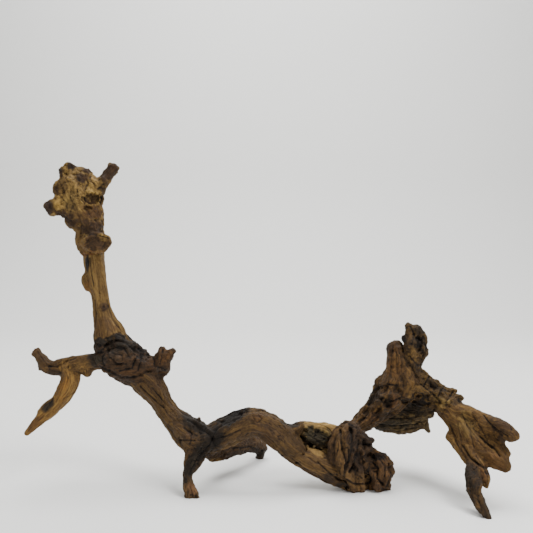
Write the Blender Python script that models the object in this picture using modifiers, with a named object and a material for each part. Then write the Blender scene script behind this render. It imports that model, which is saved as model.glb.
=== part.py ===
"""A piece of weathered driftwood: a root crown lying on its snags, with a burl on a long neck.

Every limb is a loft of oval sections along a curved path. The limbs of one branch are fused into
one skin, lumped, hollowed and thinned out to facets, cut flat where they stand, and trimmed at each
main fork to the limb that they grow from.
"""

import bmesh
import bpy
import numpy as np

# One millimetre in metres
MM = 0.001

# Driving dimensions, in millimetres: the gap at a fork, the middle of the footprint in the frame that
# the stations use, the voxel that fuses the limbs, and the width and height of the lumps
FORK_GAP = 0.36
CENTRE_X = -5.54
CENTRE_Y = 2.73
VOXEL = 2.0
LUMP_SIZE = 13.0
LUMP_RISE = 1.7
GROUND_DEPTH = 40.0
GROUND_REACH = 600.0

# Shares and counts: facets kept of the fused skin, the noise level that neither swells nor sinks,
# how much each smoothing eases, points in a ring, rings between two stations and facets of a hollow
STEEPEST_CORNER = 3.0
FACET_SHARE = 0.062
LUMP_MIDDLE = 0.58
EASE = 0.5
EASE_ROUNDS = 2
RING_POINTS = 32
RINGS_PER_STATION = 5
HOLLOW_SEGMENTS = 16
HOLLOW_RINGS = 10
SCREEN_GAMMA = 2.2
BRIGHTEST = 255

FRONT_TO_BACK = (0.0, 1.0, 0.0)
UPWARDS = (0.0, 0.0, 1.0)


def limb(*stations, folds=0, fold_depth=0.0, twist=0.0, facing=FRONT_TO_BACK):
    """One limb: stations of x, y, z, half-width and half-depth, with folds running along it.

    The half-depth is measured along the facing direction, the half-width square to it.
    """
    return {
        "stations": np.array(stations, dtype=float),
        "folds": folds,
        "fold_depth": fold_depth,
        "twist": twist,
        "facing": np.array(facing),
    }


# The pale burl at the top left, with its snout, horn, knobs and the flat-ended stub in front
HEAD = [
    limb(
        (-214, 14, 352, 8, 9), (-211, 14, 341, 20, 18), (-210, 14, 326, 25, 22),
        (-209, 14, 308, 24, 22), (-205, 14, 294, 20, 21), (-200, 14, 280, 15.5, 18),
        (-199, 14, 266, 14.5, 16), (-195, 14, 254, 12, 13),
        folds=5, fold_depth=0.06, twist=1.2,
    ),
    limb((-220, 10, 313, 13, 13), (-234, 6, 308, 9.5, 10), (-244, 4, 305, 6.5, 7)),
    limb((-218, 10, 338, 10, 10), (-230, 8, 347, 4, 4.5)),
    limb((-208, 8, 334, 12, 11), (-201, 4, 345, 6, 6)),
    limb(
        (-192, 14, 322, 10, 10), (-184, 14, 336, 5.5, 6), (-176, 14, 349, 4.5, 5), (-171, 14, 355, 4, 4),
    ),
    limb((-201, 14, 266, 12, 9), (-189, 0, 266, 15, 9.5), (-183, -9, 264, 15, 9), facing=UPWARDS),
]
HEAD_HOLLOWS = [(-196, -9, 317, 9.5, 7, 5.5), (-201, -8, 305, 3.5, 5, 3.5), (-246, -3, 304, 4, 3, 4)]

# The straight neck, with a splinter standing off its left side
NECK = [
    limb(
        (-196, 14, 262, 10, 11), (-194.5, 14, 251, 11, 12), (-191, 14, 224, 10.5, 11),
        (-187.5, 14, 208, 9.5, 10), (-185, 13, 194.5, 9.6, 10), (-181, 12, 179, 12, 12),
        (-176, 10, 164, 17, 16), (-172, 9, 152, 17, 17),
        folds=5, fold_depth=0.07, twist=0.6,
    ),
    limb((-196, 12, 234, 6, 6), (-204, 12, 225, 4, 4.5), (-203, 12, 211, 2.4, 3)),
]

# The dark swirled burl at the shoulder, and the fan-shaped snag on its right
SHOULDER = [
    limb(
        (-178, 12, 162, 15, 15), (-172, 9, 151, 20, 20), (-163, 9, 138, 22.5, 23),
        (-147, 9, 127, 21, 21), (-137, 9, 117, 17, 17),
        folds=6, fold_depth=0.05, twist=1.5,
    ),
    limb((-178, 9, 137, 11, 12), (-193, 9, 134, 8, 9)),
]
SNAG = [
    limb((-138, 8, 118, 13, 11), (-127, 8, 121, 11, 10), (-118, 7, 132, 10.5, 8), (-110, 6, 143, 8, 6)),
    limb((-118, 6, 138, 4.5, 5), (-114, 6, 150, 2.5, 3)),
    limb((-110, 6, 138, 5, 5), (-103, 6, 148, 3, 3)),
    limb((-120, 6, 126, 8, 7), (-109, 6, 122, 5, 5)),
]

# The left arm with its raised prong, and the long prong that hangs from it
LEFT_ARM = [
    limb(
        (-184, 9, 134, 9.5, 10), (-199, 6, 132, 9.5, 10), (-209, 4, 130.5, 9.2, 9.5),
        (-222, 4, 129, 10, 10),
        (-234, 5, 126, 8.5, 9), (-244, 7, 128.5, 7.3, 7.5), (-252, 9, 137, 5.6, 6), (-258, 11, 147, 3.6, 4),
        folds=4, fold_depth=0.07, twist=1.0,
    ),
    limb((-253, 9, 138, 4, 4), (-262, 10, 142.5, 2.6, 3)),
    limb((-244, 6, 126, 4.5, 4.5), (-253, 5, 125.5, 2.2, 2.4)),
    limb((-200, 4, 128, 5, 5), (-197.5, 3, 117.5, 1.8, 2.2)),
]
LOWER_PRONG = [
    limb(
        (-220, 3, 129, 9, 9), (-216, 1, 117, 9.9, 9.5), (-220, -3, 102, 9.3, 9), (-227, -6, 91.5, 8.2, 8),
        (-235.5, -9, 81.5, 7, 7), (-244, -12, 73.7, 5.9, 6), (-251, -15, 66, 4.2, 4.5),
        (-256.5, -17, 60, 2.8, 3),
        folds=4, fold_depth=0.08, twist=0.8,
    ),
    limb((-230, -8, 96, 3, 4), (-238, -10, 91, 2.2, 4), (-245.5, -11, 81, 1.8, 2.6)),
]

# The trunk from the shoulder down to the crossing, with flakes of bark standing on it
TRUNK = [
    limb(
        (-140, 9, 116, 15, 15), (-134, 8, 109, 18.5, 18), (-122, 4, 97, 13, 14), (-113.6, 2, 86, 10.5, 12),
        (-107, -1, 78, 11, 12.5), (-97, -4, 69, 12.5, 14), (-86, -8, 61, 15.5, 17), (-76, -10, 54, 17, 18),
        (-67, -11, 50, 13.5, 14),
        folds=6, fold_depth=0.08, twist=0.5,
    ),
    limb((-76, -12, 68, 4.5, 6), (-72, -12, 76.5, 2, 3)),
]
FRONT_FOOT = [
    limb(
        (-76, -12, 50, 13, 13), (-77, -18, 38, 10, 11), (-80, -24, 27.5, 7.6, 9), (-82.5, -28, 20.5, 5.4, 7),
        (-81.5, -30, 12, 5.4, 6.8), (-79, -32, 3, 6, 6.5), (-79, -32, -4, 6, 6.5),
        folds=4, fold_depth=0.1, twist=0.5,
    ),
    limb((-81, -31, 10, 5, 5), (-75, -33, 4, 4.5, 5), (-73, -34, -3, 4.5, 5)),
]

# The rear root, which leaves the crossing at the back and comes down on the back foot
REAR_ROOT = [
    limb(
        (-65, -6, 44, 10, 11), (-61, 5, 34, 9, 9), (-55, 17, 28.5, 9, 9), (-44, 32, 28, 9.8, 10),
        (-30, 50, 27, 10.5, 10), (-17, 64, 23, 9.5, 9.5), (-8, 76, 14, 7.4, 7.5), (-8, 80, 6, 6, 6.5),
        (-9, 81, -4, 6, 6),
        folds=5, fold_depth=0.08, twist=0.8,
    ),
    limb((-56, 10, 27, 7, 7), (-64, 10, 23, 4, 4.5)),
]

# The arch, with a ledge and a small knob on its right end
ARCH = [
    limb(
        (-70, -11, 49, 14, 15), (-58, -11, 54, 14.5, 16), (-39, -11, 62.5, 15.5, 17), (-18, -11, 71, 15, 16),
        (-1, -11, 67.5, 14, 15.5), (14, -11, 56, 14.5, 16), (27, -11, 46, 15.5, 16), (35, -11, 39, 14, 15),
        folds=6, fold_depth=0.06, twist=0.7,
    ),
    limb((6, -9, 58, 9, 11), (24, -8, 59, 8.5, 10), (36, -6, 65, 5, 7), (38, -6, 70, 2.6, 4)),
]
ARCH_HOLLOWS = [(-34, -28, 71, 12, 5, 4.5), (-16, -28, 73, 4, 4, 3)]

# The beam that slopes from the arch down to the ground, and the short pale log behind it
BEAM = [
    limb(
        (32, -11, 42, 13.5, 14), (44, -11, 34, 13, 14), (61, -12, 24.5, 13.5, 14), (77, -13, 14, 11, 12),
        (90, -14, 4, 6, 8),
        folds=4, fold_depth=0.08, twist=0.4,
    ),
]
PALE_LOG = [
    limb(
        (31, 2, 56, 11, 12), (40, 4, 53, 14, 13.5), (57, 4, 52, 14, 13.5), (72, 4, 50.5, 13.5, 13),
        (84, 3, 50, 11, 12),
        folds=5, fold_depth=0.05, twist=0.3,
    ),
]
PALE_LOG_HOLLOWS = [(54, -11, 46, 15, 6, 8)]

# The folded mass under the tower, with two curled hooks, and the cracked knob beside it
ROOT_MASS = [
    limb(
        (93, -10, 67, 10, 12), (87, -11, 54, 16.5, 17), (85.5, -11, 36, 19.5, 20), (91, -12, 19.5, 18.5, 18),
        (94, -13, 6.5, 14, 13), (95, -13, -4, 10, 9),
        folds=8, fold_depth=0.13, twist=0.7,
    ),
    limb((98, -14, 56, 7, 8), (108, -15, 54, 5, 6), (115, -15, 49.5, 3, 4)),
    limb((100, -14, 40, 5.5, 6), (110, -15, 39.5, 4, 4.5), (114, -15, 43.5, 2.4, 3)),
]
LOWER_KNOB = [
    limb(
        (120, -13, 37, 6, 7), (121, -13, 30, 12.5, 13), (122, -13, 19, 14, 14.5), (122, -13, 7, 12.5, 12),
        (122, -13, -4, 8, 7),
        folds=5, fold_depth=0.14, twist=1.5,
    ),
    limb((100, -12, 20, 9, 9), (118, -13, 20, 9, 9)),
]

# The pitted tower, and the spire that stands beside it
TOWER = [
    limb(
        (93, 2, 58, 9.5, 11), (102, 6, 63, 9.5, 12), (115, 9, 72, 12, 15), (128, 9, 84, 16, 19),
        (139.5, 9, 99, 20, 20), (146, 9, 115, 17, 17), (147, 9, 130, 12.5, 13), (144.5, 9, 145, 9, 10),
        (143.5, 9, 154.5, 5, 5.5),
        folds=6, fold_depth=0.09, twist=0.6,
    ),
]
TOWER_HOLLOWS = [
    (113, -7, 72, 4, 5, 3.5), (120, -9, 82, 5, 6, 4), (131, -11, 84, 5, 6, 5), (125, -10, 93, 5, 6, 4),
    (139, -11, 94, 5.5, 6, 4), (116, -4, 92, 3.5, 5, 4), (148, -11, 100, 4, 6, 3.5), (134, -11, 102, 4, 5, 3),
]
SPIRE = [
    limb(
        (158, 8, 108, 11, 11), (165, 5, 122, 10.5, 11), (164.5, 4, 136, 12.5, 12), (164.5, 4, 152, 13, 11),
        (164.5, 4, 166, 12, 9), (162, 4, 175, 7.5, 6),
        folds=5, fold_depth=0.06, twist=0.4,
    ),
    limb((159, 4, 171, 4.5, 4.5), (156.5, 4, 179, 2, 2.4)),
    limb((167, 4, 169, 4.5, 4.5), (171, 4, 175.5, 2, 2.4)),
    limb((171, 4, 147, 6, 6), (177.5, 4, 139, 2.4, 3)),
    limb((156, 4, 157, 5, 5), (150.5, 4, 161, 3, 3)),
]
SPIRE_HOLLOWS = [(168.5, -8, 152, 3.2, 6, 7)]

# The toothed ridge that runs right from the tower, and the fibrous shelf hanging behind it
RIDGE = [
    limb(
        (146, 9, 104, 16, 15), (161, 7, 105, 18, 15), (175.5, 5, 100, 16, 14), (187.5, 2, 95, 14.5, 13),
        (200, -2, 86, 13, 12), (206, -4, 81, 11, 11),
        folds=5, fold_depth=0.08, twist=0.8,
    ),
    limb((177, 4, 110, 7, 7), (180, 4, 120.5, 2.4, 3)),
    limb((187, 3, 103, 6, 6), (190, 3, 112, 2.4, 3)),
    limb((195, 2, 100, 6, 6), (197.5, 1, 108.5, 2.4, 3)),
    limb((205, -2, 91, 6, 6), (213, -3, 95.5, 2.6, 3)),
]
SHELF = [
    limb(
        (120, 30, 68, 10, 10), (135, 33, 64, 15, 12), (153, 34, 62.5, 16.3, 13), (170, 34, 62, 14.5, 12),
        (184, 31, 61, 9, 9),
        folds=4, fold_depth=0.08, twist=0.5,
    ),
    limb((136, 22, 86, 13, 9), (163, 24, 81, 16, 9), (186, 14, 82, 13, 9)),
    limb((182, 30, 60, 5, 6), (187.5, 28, 48, 2, 2.6)),
]

# The wing: a curved blade that comes forward and fans out in four fingers, and the leg below it
WING = [
    limb(
        (196, -2, 84, 12, 10), (208, -14, 72, 14.5, 9.5), (218, -28, 60, 15.5, 9), (227, -43, 50, 14, 8),
        (234, -54, 42.5, 11, 7), (238, -59, 38.5, 7, 5),
        folds=5, fold_depth=0.07, twist=0.3,
    ),
    limb(
        (202, -6, 83, 8.5, 9), (217, -17, 82, 8, 8.5), (230, -31, 78, 7.5, 7.5), (240, -46, 75, 7, 6.5),
        (245.5, -54, 71, 5.6, 5.5), (247.5, -57, 68, 3.6, 4),
        folds=3, fold_depth=0.08,
    ),
    limb((220, -27, 72, 7, 7), (231, -38, 64, 5, 5.5), (240, -48, 54, 4.4, 4.8), (243.5, -51, 49.5, 3, 3.4)),
    limb(
        (201, -8, 68, 8.5, 9), (203, -18, 56, 8, 8.5), (209, -34, 44.5, 8, 8), (215, -49, 34.5, 7.5, 7.5),
        (217.5, -56, 30, 5.2, 5.5), (216.5, -61, 21, 2.2, 2.8),
        folds=3, fold_depth=0.08,
    ),
    limb((202, -10, 61, 6, 6), (195, -10, 56, 3.2, 3.6)),
]
RIGHT_LEG = [
    limb(
        (206, -42, 46, 7, 8), (206, -51, 38, 8, 8.5), (205, -59, 28, 8, 8), (203, -66, 19, 7.2, 7.6),
        (205.5, -72, 11, 5.4, 6), (208.5, -76, 5, 3.8, 4.6), (210.5, -78, 0.5, 3.4, 4.2),
        (211.5, -79, -4, 3.4, 4.2),
        folds=4, fold_depth=0.08, twist=0.6,
    ),
]

# Each branch with its limbs, hollows and colour, in the order in which they trim one another
BRANCHES = [
    ("trunk", TRUNK, [], (98, 72, 46), 0.85),
    ("shoulder", SHOULDER + SNAG, [], (66, 46, 34), 0.8),
    ("arch", ARCH, ARCH_HOLLOWS, (104, 76, 48), 0.8),
    ("root_mass", ROOT_MASS, [], (78, 56, 42), 0.85),
    ("tower", TOWER, TOWER_HOLLOWS, (90, 66, 44), 0.82),
    ("ridge", RIDGE, [], (84, 62, 40), 0.85),
    ("neck", NECK, [], (130, 102, 68), 0.78),
    ("head", HEAD, HEAD_HOLLOWS, (150, 122, 80), 0.75),
    ("left_arm", LEFT_ARM, [], (106, 80, 52), 0.82),
    ("lower_prong", LOWER_PRONG, [], (124, 92, 56), 0.8),
    ("beam", BEAM, [], (116, 88, 56), 0.78),
    ("pale_log", PALE_LOG, PALE_LOG_HOLLOWS, (142, 112, 74), 0.8),
    ("front_foot", FRONT_FOOT, [], (96, 70, 50), 0.85),
    ("rear_root", REAR_ROOT, [], (88, 66, 46), 0.88),
    ("lower_knob", LOWER_KNOB, [], (80, 56, 38), 0.85),
    ("spire", SPIRE, SPIRE_HOLLOWS, (86, 64, 42), 0.85),
    ("shelf", SHELF, [], (74, 58, 44), 0.9),
    ("wing", WING, [], (108, 80, 48), 0.75),
    ("right_leg", RIGHT_LEG, [], (78, 56, 36), 0.8),
]


def clear_scene():
    """Removes the objects that the scene starts with."""
    for thing in list(bpy.data.objects):
        bpy.data.objects.remove(thing)


def new_collection(name):
    """A collection in the scene, to sort the objects in."""
    collection = bpy.data.collections.new(name)
    bpy.context.scene.collection.children.link(collection)
    return collection


def smooth_stations(stations):
    """A Catmull-Rom curve through the stations, in place and size alike."""
    padded = np.vstack([2 * stations[0] - stations[1], stations, 2 * stations[-1] - stations[-2]])
    share = np.linspace(0, 1, RINGS_PER_STATION, endpoint=False)[:, None]
    rows = []
    for before, start, end, after in zip(padded[:-3], padded[1:-2], padded[2:-1], padded[3:]):
        bend = 2 * before - 5 * start + 4 * end - after
        turn = 3 * start - before - 3 * end + after
        rows.append(start + 0.5 * share * (end - before + share * (bend + share * turn)))
    rows.append(stations[-1:])
    return np.vstack(rows)


def loft(mesh, shape):
    """Adds one limb to the mesh: oval rings square to its path, joined by quads, closed at the ends."""
    rows = smooth_stations(shape["stations"])
    centres = rows[:, :3]
    ahead = np.gradient(centres, axis=0)
    ahead /= np.linalg.norm(ahead, axis=1)[:, None]
    facing = shape["facing"]
    deep = facing - (ahead @ facing)[:, None] * ahead
    deep /= np.linalg.norm(deep, axis=1)[:, None]
    across = np.cross(deep, ahead)
    angles = np.linspace(0, 2 * np.pi, RING_POINTS, endpoint=False)
    along = np.linspace(0, 1, len(rows))
    phase = shape["folds"] * (angles[None, :] + shape["twist"] * along[:, None])
    swell = 1 + shape["fold_depth"] * np.cos(phase)
    wide = swell * rows[:, 3:4] * np.cos(angles)
    thick = swell * rows[:, 4:5] * np.sin(angles)
    points = centres[:, None] + wide[:, :, None] * across[:, None] + thick[:, :, None] * deep[:, None]
    rings = [[mesh.verts.new(point * MM) for point in ring] for ring in points]
    for lower, upper in zip(rings[:-1], rings[1:]):
        for here in range(RING_POINTS):
            there = (here + 1) % RING_POINTS
            mesh.faces.new((lower[here], lower[there], upper[there], upper[here]))
    mesh.faces.new(rings[0][::-1])
    mesh.faces.new(rings[-1])


def applied(thing):
    """Bakes an object's modifiers into its mesh."""
    graph = bpy.context.evaluated_depsgraph_get()
    baked = bpy.data.meshes.new_from_object(thing.evaluated_get(graph))
    thing.modifiers.clear()
    thing.data = baked


def hide_cutter(cutter):
    """Marks an object as one that only cuts."""
    cutter.hide_render = True
    cutter.display_type = "WIRE"


def cut(thing, cutter, solver="EXACT"):
    """Takes the cutter's shape out of the thing."""
    difference = thing.modifiers.new("cut", "BOOLEAN")
    difference.operation = "DIFFERENCE"
    difference.solver = solver
    difference.object = cutter
    applied(thing)


def hollow_cutter(hollow, cutters):
    """An ellipsoid that scoops one hollow out of a limb."""
    x, y, z, half_x, half_y, half_z = (MM * value for value in hollow)
    bpy.ops.mesh.primitive_uv_sphere_add(
        segments=HOLLOW_SEGMENTS, ring_count=HOLLOW_RINGS, location=(x, y, z),
    )
    ball = bpy.context.object
    ball.name = "hollow"
    ball.scale = (half_x, half_y, half_z)
    ball.users_collection[0].objects.unlink(ball)
    cutters.objects.link(ball)
    hide_cutter(ball)
    return ball


def material(name, colour, roughness):
    """Plain wood of one colour, given as it looks on a screen."""
    finish = bpy.data.materials.new(name)
    finish.use_nodes = True
    shader = finish.node_tree.nodes["Principled BSDF"]
    linear = [(value / BRIGHTEST) ** SCREEN_GAMMA for value in colour]
    shader.inputs["Base Color"].default_value = (*linear, 1)
    shader.inputs["Roughness"].default_value = roughness
    shader.inputs["Metallic"].default_value = 0
    return finish


def keep_largest_body(thing):
    """Drops the loose crumbs that a cut leaves beside the branch."""
    mesh = bmesh.new()
    mesh.from_mesh(thing.data)
    waiting = set(mesh.verts)
    bodies = []
    while waiting:
        body = {waiting.pop()}
        edge_of_body = list(body)
        while edge_of_body:
            corner = edge_of_body.pop()
            fresh = [edge.other_vert(corner) for edge in corner.link_edges]
            fresh = [vertex for vertex in fresh if vertex not in body]
            body.update(fresh)
            edge_of_body.extend(fresh)
        waiting -= body
        bodies.append(body)
    bodies.sort(key=len)
    crumbs = [vertex for body in bodies[:-1] for vertex in body]
    bmesh.ops.delete(mesh, geom=crumbs, context="VERTS")
    mesh.to_mesh(thing.data)
    mesh.free()


def branch(name, limbs, hollows, lumps, driftwood, cutters):
    """One branch: its limbs fused in one skin, hollowed, lumped and thinned out to facets."""
    mesh = bmesh.new()
    for shape in limbs:
        loft(mesh, shape)
    bmesh.ops.recalc_face_normals(mesh, faces=mesh.faces)
    data = bpy.data.meshes.new(name)
    mesh.to_mesh(data)
    mesh.free()
    thing = bpy.data.objects.new(name, data)
    driftwood.objects.link(thing)
    fuse = thing.modifiers.new("fuse", "REMESH")
    fuse.mode = "VOXEL"
    fuse.voxel_size = VOXEL * MM
    applied(thing)
    for hollow in hollows:
        cut(thing, hollow_cutter(hollow, cutters))
    again = thing.modifiers.new("fuse again", "REMESH")
    again.mode = "VOXEL"
    again.voxel_size = VOXEL * MM
    swell = thing.modifiers.new("lumps", "DISPLACE")
    swell.texture = lumps
    swell.texture_coords = "GLOBAL"
    swell.mid_level = LUMP_MIDDLE
    swell.strength = 2 * LUMP_RISE * MM
    ease = thing.modifiers.new("ease", "SMOOTH")
    ease.factor = EASE
    ease.iterations = EASE_ROUNDS
    facets = thing.modifiers.new("facets", "DECIMATE")
    facets.ratio = FACET_SHARE
    applied(thing)
    return thing


def swollen_copy(thing, gap, cutters):
    """A copy swollen by the gap, which trims the branches that grow from this one.

    Each corner moves further where the faces round it are steep, so that the faces keep the gap.
    """
    mesh = bmesh.new()
    mesh.from_mesh(thing.data)
    steps = [min(vertex.calc_shell_factor(), STEEPEST_CORNER) * gap * MM for vertex in mesh.verts]
    moves = [vertex.normal * step for vertex, step in zip(mesh.verts, steps)]
    for vertex, move in zip(mesh.verts, moves):
        vertex.co += move
    data = bpy.data.meshes.new(thing.name + " trim")
    mesh.to_mesh(data)
    mesh.free()
    cutter = bpy.data.objects.new(data.name, data)
    cutters.objects.link(cutter)
    hide_cutter(cutter)
    return cutter


def box_of(thing):
    """The lowest and highest corners of an object whose place is in its mesh."""
    points = np.array([vertex.co for vertex in thing.data.vertices])
    return points.min(axis=0), points.max(axis=0)


def touch(one, other):
    """Whether the boxes of two objects meet."""
    (low, high), (other_low, other_high) = box_of(one), box_of(other)
    reach = 2 * FORK_GAP * MM
    return bool(np.all(low - reach < other_high) and np.all(other_low - reach < high))


def ground(cutters):
    """A slab below the surface that the driftwood lies on, to cut its feet flat."""
    bpy.ops.mesh.primitive_cube_add(size=1, location=(0, 0, -GROUND_DEPTH / 2 * MM))
    slab = bpy.context.object
    slab.name = "ground"
    slab.scale = (GROUND_REACH * MM, GROUND_REACH * MM, GROUND_DEPTH * MM)
    slab.users_collection[0].objects.unlink(slab)
    cutters.objects.link(slab)
    hide_cutter(slab)
    return slab


def move_to_centre(thing):
    """Sets the middle of the driftwood's footprint on the origin."""
    for vertex in thing.data.vertices:
        vertex.co.x -= CENTRE_X * MM
        vertex.co.y -= CENTRE_Y * MM


def build():
    """The whole driftwood."""
    clear_scene()
    driftwood = new_collection("driftwood")
    cutters = new_collection("cutters")
    lumps = bpy.data.textures.new("lumps", "CLOUDS")
    lumps.noise_scale = LUMP_SIZE * MM
    slab = ground(cutters)
    grown = []
    for name, limbs, hollows, colour, roughness in BRANCHES:
        thing = branch(name, limbs, hollows, lumps, driftwood, cutters)
        if box_of(thing)[0][2] < 0:
            cut(thing, slab)
        trimmer = swollen_copy(thing, FORK_GAP, cutters)
        for older in grown:
            if touch(thing, older):
                cut(thing, older, solver="MANIFOLD")
        keep_largest_body(thing)
        thing.data.materials.clear()
        thing.data.materials.append(material(name, colour, roughness))
        grown.append(trimmer)
    for thing in driftwood.objects:
        move_to_centre(thing)


build()
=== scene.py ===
import bmesh
import bpy
import numpy as np
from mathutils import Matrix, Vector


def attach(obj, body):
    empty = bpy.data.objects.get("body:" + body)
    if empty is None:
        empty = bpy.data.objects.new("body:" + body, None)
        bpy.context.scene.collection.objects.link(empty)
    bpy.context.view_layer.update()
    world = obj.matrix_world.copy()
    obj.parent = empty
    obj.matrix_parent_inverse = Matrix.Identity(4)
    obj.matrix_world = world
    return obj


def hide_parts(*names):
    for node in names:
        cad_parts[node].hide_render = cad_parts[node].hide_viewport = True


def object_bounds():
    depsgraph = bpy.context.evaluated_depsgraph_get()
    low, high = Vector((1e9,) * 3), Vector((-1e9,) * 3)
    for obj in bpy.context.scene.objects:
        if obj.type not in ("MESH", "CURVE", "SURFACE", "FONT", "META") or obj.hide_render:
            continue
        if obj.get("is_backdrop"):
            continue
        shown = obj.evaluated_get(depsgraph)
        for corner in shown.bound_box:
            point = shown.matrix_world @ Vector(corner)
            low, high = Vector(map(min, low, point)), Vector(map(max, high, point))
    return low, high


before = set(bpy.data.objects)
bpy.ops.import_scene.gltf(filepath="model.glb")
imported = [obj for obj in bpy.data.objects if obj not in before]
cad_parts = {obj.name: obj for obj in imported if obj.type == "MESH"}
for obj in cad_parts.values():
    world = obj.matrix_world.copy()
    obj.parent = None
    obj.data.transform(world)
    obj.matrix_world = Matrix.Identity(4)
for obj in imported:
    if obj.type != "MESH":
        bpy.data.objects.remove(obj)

CAD_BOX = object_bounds()
MM = 0.001

# The studio: a level camera in front of the driftwood, a pale floor that runs up behind it in one
# sweep, and soft light from large lamps above, the strongest of them from the right
FOOTPRINT_MIDDLE = np.array([-5.54, 2.73, 0.0])
EYE = np.array([0.0, -586.0, 239.0]) - FOOTPRINT_MIDDLE
LENS = 36.0
SWEEP_WIDTH = 16000.0
SWEEP_FRONT = -8000.0
SWEEP_BACK = 1300.0
SWEEP_TOP = 4600.0
SWEEP_BEND = 700.0
FLOOR_COLOUR = (0.86, 0.86, 0.84)

lens = bpy.data.cameras.new("camera")
lens.lens = LENS
lens.sensor_width = LENS
lens.dof.use_dof = False
camera = bpy.data.objects.new("camera", lens)
camera.location = EYE * MM
camera.rotation_euler = (np.pi / 2, 0, 0)
bpy.context.scene.collection.objects.link(camera)
bpy.context.scene.camera = camera


def grid_faces(rows, columns, closed):
    """The corner numbers of the quads of a grid of points, whose columns may close into rings."""
    row, column = np.meshgrid(np.arange(rows - 1), np.arange(columns - (not closed)), indexing="ij")
    following = (column + 1) % columns
    quads = np.stack([
        row * columns + column, row * columns + following,
        (row + 1) * columns + following, (row + 1) * columns + column,
    ], axis=-1)
    return quads.reshape(-1, 4)


def new_mesh(name, points, quads):
    """A mesh of points in millimetres and of quads, put in as whole arrays."""
    mesh = bpy.data.meshes.new(name)
    mesh.vertices.add(len(points))
    mesh.vertices.foreach_set("co", (points * MM).astype(np.float32).ravel())
    mesh.loops.add(quads.size)
    mesh.loops.foreach_set("vertex_index", quads.astype(np.int32).ravel())
    mesh.polygons.add(len(quads))
    mesh.polygons.foreach_set("loop_start", np.arange(0, quads.size, 4, dtype=np.int32))
    mesh.update(calc_edges=True)
    mesh.shade_smooth()
    return mesh


def new_object(name, mesh):
    """An object at the origin that shows a mesh."""
    thing = bpy.data.objects.new(name, mesh)
    bpy.context.scene.collection.objects.link(thing)
    return thing


# The sweep's profile: flat floor, a quarter circle of the bend's radius, then straight up
turn = np.linspace(0, np.pi / 2, 24)
sweep_y = np.concatenate([[SWEEP_FRONT], SWEEP_BACK + SWEEP_BEND * np.sin(turn), [SWEEP_BACK + SWEEP_BEND]])
sweep_z = np.concatenate([[0.0], SWEEP_BEND * (1 - np.cos(turn)), [SWEEP_TOP]])
sweep_x = np.array([-SWEEP_WIDTH / 2, SWEEP_WIDTH / 2])
sweep_points = np.stack(np.broadcast_arrays(sweep_x, sweep_y[:, None], sweep_z[:, None]), axis=-1)
sweep_quads = grid_faces(len(sweep_y), 2, closed=False)
floor = new_object("floor", new_mesh("floor", sweep_points.reshape(-1, 3), sweep_quads))
floor_paint = bpy.data.materials.new("pale matt floor")
floor_paint.use_nodes = True
floor_shader = floor_paint.node_tree.nodes["Principled BSDF"]
floor_shader.inputs["Base Color"].default_value = (*FLOOR_COLOUR, 1)
floor_shader.inputs["Roughness"].default_value = 0.9
floor.data.materials.append(floor_paint)
floor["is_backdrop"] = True


def soft_lamp(name, place, aim, size, watts):
    """A square lamp of the given size in millimetres, which faces the aim."""
    lamp = bpy.data.lights.new(name, "AREA")
    lamp.shape = "SQUARE"
    lamp.size = size * MM
    lamp.energy = watts
    holder = bpy.data.objects.new(name, lamp)
    holder.location = np.array(place) * MM
    away = (np.array(aim, dtype=float) - np.array(place)) * MM
    sideways = np.arctan2(-away[0], away[1])
    tilt = np.arctan2(np.hypot(away[0], away[1]), -away[2])
    holder.rotation_euler = (tilt, 0, sideways)
    bpy.context.scene.collection.objects.link(holder)


soft_lamp("key lamp", (900, -700, 1300), (0, 0, 120), 650, 23)
soft_lamp("fill lamp", (-1100, -1000, 900), (0, 0, 120), 1200, 5)
soft_lamp("top lamp", (0, 200, 1700), (0, 0, 100), 1500, 10)
soft_lamp("backdrop lamp", (0, 700, 2600), (0, 2000, 500), 2000, 80)
studio = bpy.data.worlds.new("studio")
studio.use_nodes = True
studio.node_tree.nodes["Background"].inputs["Color"].default_value = (1.0, 1.0, 0.99, 1)
studio.node_tree.nodes["Background"].inputs["Strength"].default_value = 0.42
bpy.context.scene.world = studio

# The head: a pale, knobbly burl at the top of the neck, worn smooth on its bosses and dark in its
# hollows. A snout, a horn and a flat-ended stub stand on it, all grown with it as one wood.
# The near-black of the painted shade in hollows, cracks and grooves
SHADE_BLACK = (17, 12, 8)
BARK = (52, 38, 25)
WALNUT = (60, 43, 27)
UMBER = (67, 49, 30)
CHESTNUT = (78, 55, 32)
HAZEL = (91, 68, 39)
RUST = (106, 71, 36)
TAN = (107, 81, 44)
STRAW = (115, 93, 53)
SAND = (128, 101, 57)
HONEY = (150, 118, 60)
RING_POINTS = 56
ROW_STEP = 1.6
DOME_ROWS = 5
DOME_SHARE = 0.35
GRAIN_APART = 37.0
TONE_LAYERS = ("tone", "streak", "light")

branches = {}


def smooth_rows(stations):
    """A Catmull-Rom curve through the stations, in place and size, with rows a fixed step apart."""
    padded = np.vstack([2 * stations[0] - stations[1], stations, 2 * stations[-1] - stations[-2]])
    rows = []
    for before, start, end, after in zip(padded[:-3], padded[1:-2], padded[2:-1], padded[3:]):
        count = max(2, int(np.ceil(np.linalg.norm(end[:3] - start[:3]) / ROW_STEP)))
        share = np.linspace(0, 1, count, endpoint=False)[:, None]
        bend = 2 * before - 5 * start + 4 * end - after
        turn = 3 * start - before - 3 * end + after
        rows.append(start + 0.5 * share * (end - before + share * (bend + share * turn)))
    rows.append(stations[-1:])
    return np.vstack(rows)


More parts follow.
